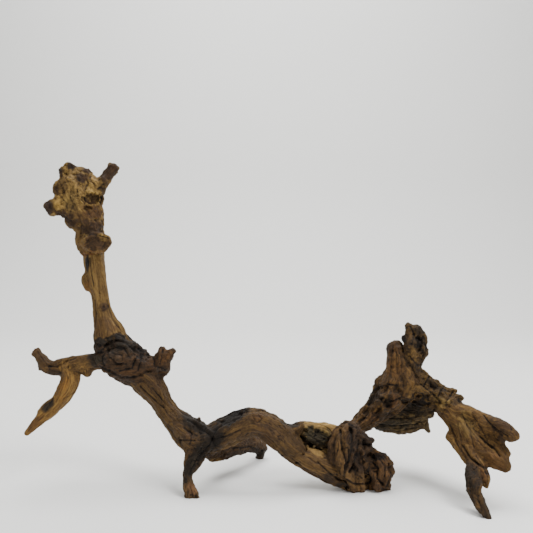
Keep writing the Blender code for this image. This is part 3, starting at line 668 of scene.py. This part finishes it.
branch(
    "lower_knob_limb", "lower_knob",
    [
        limb((120, -13, 37, 6, 7), (121, -13, 30, 12.5, 13), (122, -13, 19, 14, 14.5),
             (122, -13, 7, 12.5, 12), (122, -13, -4, 8, 7), folds=5, fold_depth=0.14, twist=1.5),
        limb((100, -12, 20, 9, 9), (118, -13, 20, 9, 9)),
        limb((104, -8, 36, 8, 8), (117, -8, 33, 7, 8)),
    ],
    ((69, 48, 27), (34, 25, 15), (91, 65, 36)),
    fold=1.4, lump=2.4, rough=1.0, fibre=0.4, crack=1.0, pit=1.4, bark=0.15,
    marks=[
        groove(1.1, 3.2, 372, 462, 378, 468, 377, 478, 383, 485),
        groove(1.1, 3.0, 380, 460, 386, 467, 384, 477), groove(1.0, 2.6, 389, 464, 391, 476, 387, 486),
        groove(1.3, 3.0, 368, 472, 370, 482), dent(376, 456, 6, 3, 2.6), paint(SOOT_AND_SHADE, 377, 456, 8, 4, 0.9),
        paint(RUSSET, 382, 474, 6, 7, 0.5), paint(INK, 367, 474, 4, 9, 0.9),
    ],
)

# The crown: the pitted tower with streaks running up it, the spire with its hollow, the ridge with
# its torn teeth, and the fibrous shelf behind. All of it is dark and worn by rot.
CREAM = (188, 161, 101)
branch(
    "tower_limb", "tower",
    [
        limb((93, 2, 58, 9.5, 11), (102, 6, 63, 9.5, 12), (115, 9, 72, 12, 15), (128, 9, 84, 16, 19),
             (139.5, 9, 99, 20, 20), (146, 9, 115, 17.5, 17), (147, 9, 130, 13.5, 13),
             (144.5, 9, 144, 10.5, 10.5), (143.5, 9, 151, 8, 8.5), (143, 9, 155, 4.5, 5),
             folds=6, fold_depth=0.05, twist=0.6),
        limb((150, 4, 124, 12, 13), (153, 3, 109, 17, 14), (150, 3, 97, 14, 12)),
    ],
    ((72, 52, 28), (41, 30, 17), (95, 70, 37)),
    fold=0.8, lump=1.8, rough=0.8, fibre=0.6, crack=0.5, warp=0.5, pit=1.2, bark=0.12,
    marks=[
        dent(374, 400, 4, 7, 5.0, 25), dent(382, 390, 7, 4, 4.0, -20),
        dent(388, 403, 5, 6, 4.0, 15, ragged=0.9), dent(378, 411, 4, 4, 3.0, 30, ragged=0.9),
        dent(366, 412, 3, 5, 4.0, 35), dent(393, 412, 5, 3, 4.5, -30), dent(397, 391, 6, 3, 3.0, 35),
        dent(361, 421, 2.5, 5, 3.5, 35), dent(405, 402, 6, 2.4, 4.0, 20),
        groove(1.2, 2.4, 368, 396, 377, 388, 388, 384, 398, 386),
        groove(1.0, -2.6, 371, 407, 379, 399, 382, 396),
        groove(1.2, -2.6, 383, 412, 382, 402, 386, 395, 393, 394),
        groove(1.2, -2.2, 371, 420, 378, 414, 388, 411, 396, 404),
        groove(0.9, 2.4, 396, 400, 402, 397, 410, 400), groove(0.9, -1.6, 362, 414, 367, 404, 374, 394),
        groove(0.9, 2.0, 352, 428, 360, 420, 366, 418), groove(0.9, 2.4, 376, 423, 386, 418, 394, 417),
        groove(0.7, 1.2, 388, 350, 385, 366, 380, 382), groove(0.7, 1.0, 393, 346, 391, 366, 388, 384),
        groove(0.8, 1.2, 400, 356, 402, 372, 404, 386), groove(0.6, 0.9, 396, 352, 397, 374),
        groove(1.6, 4.0, 402, 342, 406, 354, 413, 369), paint(WALNUT, 392, 347, 8, 6, 0.9),
        paint(HAZEL, 411, 379, 3.5, 9, 0.5, -8), paint(TAN, 412, 392, 5, 7, 0.6),
        paint(RUSSET, 395, 368, 8, 12, 0.5), paint(CREAM, 371, 388, 2.2, 2.6, ragged=0.2),
        paint(INK, 374, 396, 9, 8, 0.7), paint(GREY_CHAR, 368, 400, 5, 4, 0.8),
        paint(CHAR_AND_SHADE, 388, 403, 8, 6, 0.6), paint(CHESTNUT, 372, 418, 12, 5, 0.7, -35),
        paint(RED_BROWN, 394, 403, 3, 7, 0.6, 10), paint(SOOT_AND_SHADE, 384, 415, 10, 3, 0.7),
    ],
)
branch(
    "spire_limb", "spire",
    [
        limb((160, 8, 108, 8, 9), (163, 6, 120, 7.5, 9), (163.5, 4, 131, 9, 10), (164, 4, 142, 11.5, 11),
             (164.5, 4, 153, 12.5, 11), (164, 4, 165, 11, 9), (163.5, 4, 171, 8.5, 7),
             folds=5, fold_depth=0.06, twist=0.4),
        limb((160, 4, 166, 5.5, 6), (157.5, 4, 173, 3.6, 4), (156, 4, 177, 2, 2.6)),
        limb((167, 4, 166, 6, 6), (169.5, 4, 172, 4, 4)),
        limb((171, 4, 149, 7, 7), (177, 4, 140, 3.6, 4)),
        limb((157, 4, 157, 6, 6), (151, 4, 161, 4.4, 4.4)),
    ],
    ((61, 45, 24), (34, 24, 15), (88, 68, 37)),
    fold=1.0, lump=2.2, rough=1.0, fibre=0.4, crack=0.9, pit=1.4, bark=0.15,
    marks=[
        dent(419, 345, 4.5, 8, 6.0), dent(417, 335, 6, 5, 2.5), dent(411, 341, 3, 6, -1.6),
        dent(419, 360, 4, 3, 3.0), dent(412, 352, 4, 4, -1.4),
        groove(1.0, 2.0, 410, 326, 414, 334, 412, 344), groove(0.9, 1.6, 424, 338, 426, 350, 424, 360),
        groove(1.0, 2.0, 411, 358, 418, 366, 426, 364), paint(SOOT_AND_SHADE, 419, 345, 5, 9, 0.9),
        paint(SOOT_AND_SHADE, 403, 338, 4, 4), paint(TAN, 414, 355, 6, 6, 0.6), paint(HAZEL, 409, 334, 3, 7, 0.6),
        paint(CHAR_AND_SHADE, 420, 330, 6, 5, 0.6),
    ],
)
branch(
    "ridge_limb", "ridge",
    [
        limb((146, 9, 104, 16, 15), (161, 7, 105, 18, 15), (175.5, 5, 100, 16, 14),
             (187.5, 2, 95, 14.5, 13), (200, -2, 86, 13, 12), (206, -4, 81, 11, 11),
             folds=5, fold_depth=0.08, twist=0.8),
        limb((163, 5, 118, 9, 9), (171, 4, 118, 8, 7), (179, 4, 112, 6, 5)),
        limb((174, 4, 108, 8, 7), (182, 4, 113, 3.8, 4.5), (191, 4, 112, 1.7, 2.6)),
        limb((184, 3, 103, 7, 6), (190, 3, 107, 3.6, 4.4), (197.5, 3, 106, 1.7, 2.6)),
        limb((194, 2, 98, 7, 6), (202, 2, 102, 3.6, 4.4), (210.5, 2, 101.5, 1.7, 2.6)),
        limb((203, -2, 90, 7, 6), (209, -3, 95.5, 3.6, 4.4), (215.5, -3, 95, 1.7, 2.6)),
    ],
    ((74, 55, 29), (40, 29, 17), (101, 78, 41)),
    fold=1.2, lump=2.0, rough=0.9, fibre=0.5, crack=0.6, warp=0.8, pit=1.6, bark=0.12,
    marks=[
        dent(418, 406, 13, 12, 6.0), dent(432, 388, 6, 3, 2.5, 30), dent(442, 396, 5, 3, 2.4, 30),
        dent(425, 381, 5, 3, 2.0, 30), dent(437, 402, 4, 3, 2.4), dent(430, 414, 6, 5, 3.5),
        dent(441, 409, 5, 4, -1.6), dent(436, 392, 4, 3, -1.6),
        groove(1.0, 2.2, 420, 384, 432, 393, 440, 402), groove(1.0, 2.4, 444, 386, 438, 396),
        groove(1.0, 2.4, 453, 392, 446, 402), groove(1.0, 2.2, 430, 375, 424, 386),
        groove(0.9, 1.6, 452, 402, 446, 412, 440, 424), paint(SOOT_AND_SHADE, 417, 404, 11, 14, 0.9),
        paint(INK, 428, 414, 8, 8, 0.7), paint(STRAW, 443, 401, 8, 4, 0.7, 25),
        paint(TAN, 415, 390, 6, 4, 0.6), paint(INK, 436, 386, 10, 3, 0.7, 38),
    ],
)
branch(
    "shelf_limb", "shelf",
    [
        limb((120, 30, 68, 10, 10), (135, 33, 64, 15, 12), (153, 34, 62.5, 16.3, 13),
             (170, 34, 62, 14.5, 12), (184, 31, 61, 9, 9), folds=4, fold_depth=0.08, twist=0.5),
        limb((136, 22, 86, 13, 9), (163, 24, 81, 16, 9), (186, 14, 82, 13, 9)),
        limb((182, 30, 60, 5, 6), (187.5, 28, 48, 2, 2.6)),
    ],
    ((77, 61, 38), (44, 34, 22), (107, 88, 55)),
    fold=1.0, lump=1.2, rough=0.8, fibre=0.8, crack=1.0, pit=0.8, bark=0.2,
    marks=[
        groove(0.9, 2.2, 378, 424, 396, 426, 418, 424), groove(0.9, 2.2, 384, 418, 402, 419, 422, 416),
        groove(0.7, 1.6, 376, 430, 398, 431, 416, 428), dent(408, 412, 12, 5, 3.0),
        # The second patch on the next line is painted shadow on the upper part of the shelf
        paint(MOSS_GREY, 392, 424, 18, 5, 0.7), paint(SOOT_AND_SHADE, 410, 410, 18, 6, 0.8),
    ],
)

# The wing: a curved blade with long grooves, which comes forward and fans out in four fingers, and
# the narrow leg on which it stands
branch(
    "wing_limb", "wing",
    [
        limb((197, -2, 84, 12, 10), (209.5, -14, 72, 13.5, 9.5), (218, -28, 60, 15.5, 9),
             (227, -43, 50, 14, 8), (233, -52, 45, 10.5, 7), (239, -58, 38.5, 4.6, 4.2),
             folds=5, fold_depth=0.07, twist=0.3, dome=0.6),
        limb((202, -6, 83, 8.5, 9), (217, -17, 82, 8, 8.5), (230, -31, 78, 7.5, 7.5),
             (238, -46, 76, 8.5, 7), (244, -54, 71, 8, 6), (246, -57, 67, 6, 5),
             folds=3, fold_depth=0.08),
        limb((220, -27, 72, 7, 7), (231, -38, 64, 5, 5.5), (240, -48, 54, 4.4, 4.8),
             (243.5, -51, 49.5, 3, 3.4)),
        limb((222, -27, 77, 8, 7), (232, -39, 70, 6.5, 6), (239.5, -48, 64, 4.6, 5)),
        limb((206, -8, 68, 8.5, 9), (206, -18, 55, 8, 8.5), (209, -34, 44.5, 8, 8),
             (215, -49, 34.5, 7.5, 7.5), (217.5, -56, 30, 5.2, 5.5), (216.5, -61, 21, 2.2, 2.8),
             folds=3, fold_depth=0.08),
        limb((214, -16, 50, 13, 8), (204, -14, 54.5, 10.5, 8), (195, -14, 57.5, 4.4, 5)),
    ],
    ((87, 63, 33), (58, 41, 22), (106, 80, 42)),
    fold=0.8, lump=1.0, rough=0.4, fibre=0.5, crack=0.35, warp=0.9, pit=0.2, bark=0.04,
    marks=[
        groove(1.2, 3.4, 463, 446, 470, 458, 482, 466, 496, 474),
        groove(1.2, 3.4, 480, 436, 487, 443, 494, 448, 500, 456),
        groove(1.0, 2.2, 484, 416, 492, 426, 502, 436), groove(0.8, 1.4, 472, 414, 482, 430, 490, 446),
        groove(0.8, 1.2, 462, 414, 470, 432, 474, 448), groove(0.7, 1.0, 456, 416, 460, 434, 462, 452),
        groove(0.9, 1.6, 450, 424, 456, 442, 468, 462, 482, 478),
        groove(0.9, 1.8, 476, 456, 484, 468, 488, 478), groove(0.8, 1.4, 490, 412, 506, 422, 512, 430),
        groove(0.9, 1.8, 498, 430, 508, 436), groove(0.9, 1.6, 468, 402, 482, 410, 496, 416),
        groove(0.7, 1.0, 466, 424, 478, 440, 486, 452), dent(450, 440, 5, 5, -1.4),
        dent(446, 436, 3, 3, -1.0), dent(494, 440, 4, 7, 2.0, -40), dent(489, 472, 5, 2.5, 3.0, 25),
        paint(RUSSET, 495, 463, 11, 8, 0.7, 30), paint(WALNUT, 503, 427, 12, 8, 0.8, 35),
        paint(TAN, 450, 440, 6, 6, 0.6), paint(BARK, 502, 440, 6, 3, 0.8, 40),
        paint(STRAW, 466, 424, 12, 8, 0.5, 60), paint(DARK_BARK_AND_SHADE, 492, 474, 7, 2.5, 0.9, 28),
        paint(RED_BROWN, 478, 472, 9, 5, 0.7, 40),
    ],
)
branch(
    "right_leg_limb", "right_leg",
    [
        limb((211, -40, 38, 5, 5), (207, -50, 33, 7.5, 7.5), (205, -59, 27, 8, 8),
             (203, -66, 19, 7.2, 7.6), (205.5, -72, 11, 5.4, 6), (208.5, -76, 5, 3.8, 4.6),
             (210.5, -78, 0.5, 3.4, 4.2), (211.5, -79, -4, 3.4, 4.2),
             folds=4, fold_depth=0.08, twist=0.6),
    ],
    ((51, 37, 20), (30, 22, 13), (72, 53, 28)),
    fold=1.0, lump=1.4, rough=0.7, fibre=0.5, crack=0.9, pit=0.6, bark=0.1,
    marks=[
        paint(HAZEL, 481, 488, 1.8, 6, 0.5, 25), paint(HAZEL, 477, 502, 2.2, 6, 0.5, -20),
        # The first patch on the next line is painted shade in the crease where the leg meets the wing
        paint(CHAR_AND_SHADE, 470, 478, 5, 8, 0.8), groove(0.9, 1.8, 470, 478, 470, 492, 474, 504),
        groove(0.8, 1.6, 478, 488, 478, 500, 482, 510), dent(468, 484, 3, 5, 1.5),
    ],
)

# The wood's skin: the limbs grew as one wood, so they are fused into one skin here. It is worn into
# folds, pits, cracks and fibres, and each branch then takes its own share of it.
COARSE_VOXEL = 0.9
FULL_VOXEL = 0.66
FINE_VOXEL = FULL_VOXEL
REACH = 9.0
BLEND = 1.3
FORK_ROUNDS = 24
COARSE_BLEND_ROUNDS = 12
FINE_BLEND_ROUNDS = 30
NEAR_ROUNDS = 9
FAR_ROUNDS = 75
SURVEY_POINTS = 20000
LATTICE = 48
FOLD_WIDTH = 8.0
FOLD_LENGTH = 40.0
WARP_SIZE = 17.0
WARP = 4.0
LUMP_WIDTH = 13.0
PIT_WIDTH = 8.0
FIBRE_WIDTH = 2.0
FIBRE_LENGTH = 34.0
CRACK_WIDTH = 5.0
CRACK_LENGTH = 52.0
ROUGH_WIDTH = 4.0
PATCH_WIDTH = 24.0
PICTURE_STEPS = 533
PATCH_TONES = np.array([[1.0], [0.5], [1.35]])
BARK_COLOURS = [linear((44, 36, 30)), linear((24, 18, 14)), linear((74, 62, 50))]

random = np.random.default_rng(11)
lattice = random.normal(size=(LATTICE, LATTICE, LATTICE, 3)).astype(np.float32)
lattice /= np.linalg.norm(lattice, axis=-1, keepdims=True)
seeds = random.uniform(0.0, 1.0, size=(LATTICE, LATTICE, LATTICE, 3)).astype(np.float32)


def eased_step(values, low, high):
    """Values from low to high spread out over 0 to 1 by 3t^2 - 2t^3."""
    part = np.clip((values - low) / (high - low), 0, 1)
    return part * part * (3 - 2 * part)


def gradient_noise(points):
    """Noise from -1 to 1: eight lattice slopes met at a point, weighed by 6t^5 - 15t^4 + 10t^3."""
    points = np.asarray(points, dtype=np.float32)
    floor_cell = np.floor(points)
    part = points - floor_cell
    cell = floor_cell.astype(np.int32) % LATTICE
    ease = part * part * part * (part * (part * 6 - 15) + 10)
    total = np.zeros(len(points), dtype=np.float32)
    for corner in np.ndindex(2, 2, 2):
        index = (cell + corner) % LATTICE
        slope = lattice[index[:, 0], index[:, 1], index[:, 2]]
        away = part - np.array(corner, dtype=np.float32)
        weight = np.where(corner, ease, 1 - ease).prod(axis=1)
        total += weight * np.einsum("ij,ij->i", slope, away)
    return total * 1.6


def fractal(points, octaves):
    """Noise laid over itself at half the size and half the height, octave by octave."""
    total = 0
    for octave in range(octaves):
        total = total + gradient_noise(points * 2.0 ** octave + 11.3 * octave) / 2.0 ** octave
    return total


def nearest_seed(points):
    """The way to the nearest of the seeds that are strewn one to each cell of a lattice."""
    points = np.asarray(points, dtype=np.float32)
    floor_cell = np.floor(points)
    part = points - floor_cell
    cell = floor_cell.astype(np.int32)
    nearest = np.full(len(points), 9.0, dtype=np.float32)
    for step in np.ndindex(3, 3, 3):
        step = np.array(step) - 1
        index = (cell + step) % LATTICE
        away = seeds[index[:, 0], index[:, 1], index[:, 2]] + step - part
        nearest = np.minimum(nearest, np.einsum("ij,ij->i", away, away))
    return np.sqrt(nearest)


def points_and_quads(mesh):
    """A mesh's points in millimetres and its quads, as whole arrays."""
    points = np.empty(len(mesh.vertices) * 3, dtype=np.float32)
    mesh.vertices.foreach_get("co", points)
    quads = np.empty(len(mesh.loops), dtype=np.int32)
    mesh.loops.foreach_get("vertex_index", quads)
    return points.reshape(-1, 3) / MM, quads.reshape(-1, 4)


def fused(points, quads, voxel):
    """One closed skin round all of the surfaces, on a grid of voxels."""
    raw = new_object("raw skin", new_mesh("raw skin", points, quads))
    fuse = raw.modifiers.new("fuse", "REMESH")
    fuse.mode = "VOXEL"
    fuse.voxel_size = voxel * MM
    evaluated = raw.evaluated_get(bpy.context.evaluated_depsgraph_get())
    whole = points_and_quads(evaluated.to_mesh())
    evaluated.to_mesh_clear()
    bpy.data.objects.remove(raw)
    return whole


def neighbours_of(quads):
    """The corners beside each corner, one corner's after another's, and where each corner's begin."""
    following = np.roll(quads, -1, axis=1).ravel().astype(np.int64)
    corner = quads.ravel().astype(np.int64)
    count = quads.max() + 1
    keys = np.unique(np.concatenate([corner * count + following, following * count + corner]))
    from_corner, beside = np.divmod(keys, count)
    return beside, np.searchsorted(from_corner, np.arange(count))


def eased(values, neighbours, rounds, share=0.5):
    """Values eased towards the mean of their neighbours, a few rounds over."""
    beside, first = neighbours
    count = np.diff(np.append(first, len(beside)))[:, None].astype(np.float32)
    values = values.astype(np.float32)
    for _ in range(rounds):
        mean = np.add.reduceat(values[beside], first, axis=0) / count
        values += share * (mean - values)
    return values


def normals_of(points, quads):
    """Corner normals: the sum of the cross products of the diagonals of the quads round a corner."""
    cross = np.cross(points[quads[:, 2]] - points[quads[:, 0]], points[quads[:, 3]] - points[quads[:, 1]])
    normal = np.stack([
        sum(np.bincount(quads[:, corner], cross[:, axis], len(points)) for corner in range(4))
        for axis in range(3)
    ], axis=1)
    return normal / np.maximum(np.linalg.norm(normal, axis=1), 1e-12)[:, None]


def in_limb(shape, points):
    """Grain coordinates of points in a limb, and their height above its surface.

    The grain coordinates are the limb's mean radius times cos and sin of the angle round it, drawn
    in towards the middle on its ends, and the way along it.
    """
    row = np.empty(len(points), dtype=np.int64)
    centre = shape["centre"]
    for start in range(0, len(points), SURVEY_POINTS):
        some = points[start:start + SURVEY_POINTS]
        square = (centre ** 2).sum(1)[None, :] - 2 * some @ centre.T
        row[start:start + SURVEY_POINTS] = square.argmin(axis=1)
    offset = points - centre[row]
    ahead = np.einsum("ij,ij->i", offset, shape["ahead"][row])
    across = np.einsum("ij,ij->i", offset, shape["across"][row]) / shape["wide"][row]
    deep = np.einsum("ij,ij->i", offset, shape["deep"][row]) / shape["thick"][row]
    radius = np.hypot(across, deep)
    angle = np.arctan2(deep, across)
    last = len(centre) - 1
    swell = limb_swell(shape, angle, row / last)
    size = 0.5 * (shape["wide"][row] + shape["thick"][row])
    height = (radius / swell - 1) * size
    overshoot = np.where((row == 0) | (row == last), np.maximum(np.abs(ahead) - 2.0, 0), 0)
    height = np.hypot(np.maximum(height, 0), overshoot) + np.minimum(height, 0)
    along = shape["along"][row] + ahead
    mean = 0.5 * (shape["wide"].mean() + shape["thick"].mean()) * np.minimum(radius / swell, 1)
    turned = angle + shape["swirl"] * along
    return np.stack([mean * np.cos(turned), mean * np.sin(turned), along], axis=1), height


def survey(points):
    """Each point's nearest branch, grain coordinates, blended amounts and nearness to a fork.

    A limb weighs exp(-height / blend) at a point, and a fork is where two limbs weigh alike.
    """
    total = np.full(len(points), 1e-9)
    best = np.zeros(len(points))
    owner = np.zeros(len(points), dtype=np.int32)
    grain = np.zeros((len(points), 3))
    number = 0
    for index, parts in enumerate(branches.values()):
        for shape in parts["limbs"]:
            number += 1
            reach = REACH + max(shape["wide"].max(), shape["thick"].max())
            low = shape["centre"].min(axis=0) - reach
            high = shape["centre"].max(axis=0) + reach
            near = np.flatnonzero(np.all((points > low) & (points < high), axis=1))
            if len(near) == 0:
                continue
            ahead, height = in_limb(shape, points[near])
            weight = np.exp(-np.abs(height) / BLEND) + 1e-9
            total[near] += weight
            better = weight > best[near]
            chosen = near[better]
            best[chosen] = weight[better]
            owner[chosen] = index
            grain[chosen] = ahead[better] + GRAIN_APART * number
    return owner, grain, 1 - best / total


def blended(owner, neighbours, rounds):
    """The branches' amounts at each point, eased over the forks."""
    amounts = np.array([parts["amounts"] for parts in branches.values()])
    return eased(amounts[owner], neighbours, rounds)


def seen(points):
    """Where the camera sees points: steps right and down in a picture as wide as it is high."""
    away = points - EYE
    middle = PICTURE_STEPS / 2
    return np.stack([
        middle + away[:, 0] / away[:, 1] * PICTURE_STEPS, middle - away[:, 2] / away[:, 1] * PICTURE_STEPS,
    ], axis=1)


def mark_share(mark, picture, wobble):
    """How much of a mark there is at points: 1 within, falling to 0 over its edge."""
    if mark["kind"] == "groove":
        nearest = np.full(len(picture), 1e9)
        for start, end in zip(mark["path"][:-1], mark["path"][1:]):
            way = end - start
            part = np.clip((picture - start) @ way / (way @ way), 0, 1)
            nearest = np.minimum(nearest, np.linalg.norm(picture - start - part[:, None] * way, axis=1))
        return np.exp(-(nearest / mark["width"] + 0.3 * wobble) ** 2) * (nearest < 3 * mark["width"])
    offset = picture - np.array(mark["place"])
    turn = np.radians(mark["turn"])
    right = (offset[:, 0] * np.cos(turn) + offset[:, 1] * np.sin(turn)) / mark["size"][0]
    down = (offset[:, 1] * np.cos(turn) - offset[:, 0] * np.sin(turn)) / mark["size"][1]
    first, full = (-1.45, -0.65) if mark["kind"] == "paint" else (-1.25, -0.75)
    return eased_step(-np.hypot(right, down) - mark["ragged"] * wobble, first, full)


def toward_eye(points):
    """The way of length 1 from each point to the camera."""
    away = EYE - points
    return away / np.linalg.norm(away, axis=1)[:, None]


def bent_grain(points, grain, bent):
    """Slow noise in three directions, and the grain coordinates warped by it."""
    warp = np.stack([fractal(points / WARP_SIZE + 31 * axis, 2) for axis in range(3)], axis=1)
    return warp, grain + WARP * bent[:, None] * warp


def marks_at(points, normal, owner):
    """Each branch's own marks, with their shares on the side of it that faces the camera."""
    facing = np.einsum("ij,ij->i", toward_eye(points), normal)
    picture = seen(points)
    wobble = fractal(points / 6.0, 3)
    for index, parts in enumerate(branches.values()):
        own = np.flatnonzero((owner == index) & (facing > -0.4))
        for mark in parts["marks"]:
            first, full = (-0.4, -0.1) if mark["kind"] == "paint" else (0.05, 0.35)
            share = mark_share(mark, picture[own], wobble[own])
            yield mark, own, share * eased_step(facing[own], first, full)


all_points, all_quads, count = [], [], 0
for parts in branches.values():
    points, quads = points_and_quads(parts["object"].data)
    all_points.append(points)
    all_quads.append(quads + count)
    count += len(points)
skin, skin_quads = fused(np.vstack(all_points), np.vstack(all_quads), COARSE_VOXEL)

# Large relief: the forks are eased, then folds and lumps are raised, and pits and marks sunk
neighbours = neighbours_of(skin_quads)
skin = eased(skin, neighbours, 4)
owner, grain, fork = survey(skin)
fork = eased(np.clip(2.5 * fork, 0, 1)[:, None], neighbours, 6)
for _ in range(FORK_ROUNDS):
    skin = skin + fork * (eased(skin, neighbours, 1, share=0.6) - skin)
fold, lump, rough, fibre, crack, bent, pit, bark = blended(owner, neighbours, COARSE_BLEND_ROUNDS)[:, :8].T
normal = normals_of(skin, skin_quads)
warp, warped = bent_grain(skin, grain, bent)
folds = 0.5 - np.abs(fractal(warped / [FOLD_WIDTH, FOLD_WIDTH, FOLD_LENGTH], 2)) * 1.5
folds *= 0.45 + eased_step(warp[:, 0], -0.3, 0.5)
lumps = fractal(skin / LUMP_WIDTH + 5, 3)
pits = eased_step(-nearest_seed((skin + 2 * warp) / PIT_WIDTH), -0.5, -0.28)
pits = pits * eased_step(warp[:, 1], -0.15, 0.15)
rise = fold * folds + lump * lumps - pit * pits
sink = np.zeros(len(skin))
for mark, own, share in marks_at(skin, normal, owner):
    if mark["kind"] == "dent":
        sink[own] += mark["depth"] * share
    elif mark["kind"] == "groove":
        rise[own] -= mark["depth"] * share
skin = skin + rise[:, None] * normal - sink[:, None] * (0.6 * toward_eye(skin) + 0.4 * normal)
skin[:, 2] = np.maximum(skin[:, 2], 0)
skin, skin_quads = fused(skin, skin_quads, FINE_VOXEL)

# Fine relief: fibres and cracks along the grain and a crust of bark. Hollows, cracks and grooves get
# painted shade, ridges a painted highlight
neighbours = neighbours_of(skin_quads)
skin = eased(skin, neighbours, 1)
owner, grain, fork = survey(skin)
amounts = blended(owner, neighbours, FINE_BLEND_ROUNDS)
fold, lump, rough, fibre, crack, bent, pit, bark = amounts[:, :8].T
tones = amounts[:, 8:].reshape(-1, 3, 3)
normal = normals_of(skin, skin_quads)
warp, warped = bent_grain(skin, grain, bent)
barks = eased_step(fractal(skin / PATCH_WIDTH + 3, 4) + 2 * bark - 1, -0.12, 0.12)
tones = tones + barks[:, None, None] * (np.array(BARK_COLOURS) - tones)
groove_shade = np.zeros(len(skin))
for mark, own, share in marks_at(skin, normal, owner):
    if mark["kind"] == "paint":
        share = (share * mark["share"])[:, None, None]
        tones[own] += share * (mark["colour"] * PATCH_TONES - tones[own])
    # Grooves also take painted shade, stronger where they are deeper
    elif mark["kind"] == "groove":
        groove_shade[own] = np.maximum(groove_shade[own], share ** 2 * np.clip(mark["depth"] / 2.4, 0, 1))
fibres = 0.5 - np.abs(fractal(warped / [FIBRE_WIDTH, FIBRE_WIDTH, FIBRE_LENGTH], 3)) * 1.3
cracks = np.abs(gradient_noise(warped / [CRACK_WIDTH, CRACK_WIDTH, CRACK_LENGTH] + 7))
cracks = eased_step(-cracks, -0.09, 0.0) * eased_step(fractal(warped / [9, 9, 26] + 17, 2), -0.05, 0.3)
crust = fractal(skin / ROUGH_WIDTH, 4)
rise = fibre * fibres - crack * 1.5 * cracks + (rough * 0.7 + barks * 0.6) * crust
skin = skin + rise[:, None] * normal
skin[:, 2] = np.maximum(skin[:, 2], 0)
normal = normals_of(skin, skin_quads)
voxels = FULL_VOXEL / FINE_VOXEL
near_sunk = np.einsum("ij,ij->i", eased(skin, neighbours, int(NEAR_ROUNDS * voxels)) - skin, normal)
far_sunk = np.einsum("ij,ij->i", eased(skin, neighbours, int(FAR_ROUNDS * voxels ** 2)) - skin, normal)
# Painted shade: darker where the skin is sunk below its neighbours, in cracks and in grooves
painted_shade = np.clip(near_sunk / 0.5, 0, 1) * 0.5 + np.clip(far_sunk / 2.2, 0, 1) * 0.6
painted_shade = np.clip(painted_shade + 0.9 * cracks * np.minimum(crack, 1) + 0.8 * groove_shade, 0, 1)
# Painted highlight on ridges and edges, where the skin stands out of its neighbours
painted_highlight = np.clip(-near_sunk / 0.5, 0, 1) * (1 - painted_shade)

# Each branch takes the quads that are nearest to its own limbs, and is closed across each fork
share = np.zeros((len(skin), len(branches)))
share[np.arange(len(skin)), owner] = 1
owner = eased(share, neighbours, 6).argmax(axis=1)
quad_owner = np.sort(owner[skin_quads], axis=1)[:, 1]
layers = [
    ("painted_shade", "FLOAT", "value", painted_shade), ("painted_highlight", "FLOAT", "value", painted_highlight),
    ("grain", "FLOAT_VECTOR", "vector", warped),
]
for number, key in enumerate(TONE_LAYERS):
    colour = np.hstack([np.clip(tones[:, number], 0, 1), np.ones((len(skin), 1))])
    layers.append((key, "FLOAT_COLOR", "color", colour))
for index, (name, parts) in enumerate(branches.items()):
    used, local = np.unique(skin_quads[quad_owner == index], return_inverse=True)
    mesh = new_mesh(name, skin[used], local.reshape(-1, 4))
    for key, kind, field, values in layers:
        layer = mesh.attributes.new(key, kind, "POINT")
        layer.data.foreach_set(field, values[used].astype(np.float32).ravel())
    closed = bmesh.new()
    closed.from_mesh(mesh)
    rim = [edge for edge in closed.edges if edge.is_boundary]
    caps = bmesh.ops.holes_fill(closed, edges=rim, sides=0)["faces"]
    for cap in caps:
        cap.smooth = False
    bmesh.ops.poke(closed, faces=caps)
    closed.to_mesh(mesh)
    closed.free()
    corner_normals = np.zeros((len(mesh.vertices), 3), dtype=np.float32)
    corner_normals[:len(used)] = normal[used]
    mesh.normals_split_custom_set_from_vertices(corner_normals)
    mesh.materials.append(parts["object"].data.materials[0])
    spent = parts["object"].data
    parts["object"].data = mesh
    bpy.data.meshes.remove(spent)

boxes = {"cad": CAD_BOX, "visual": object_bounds()}
{key: [list(corner) for corner in box] for key, box in boxes.items()}
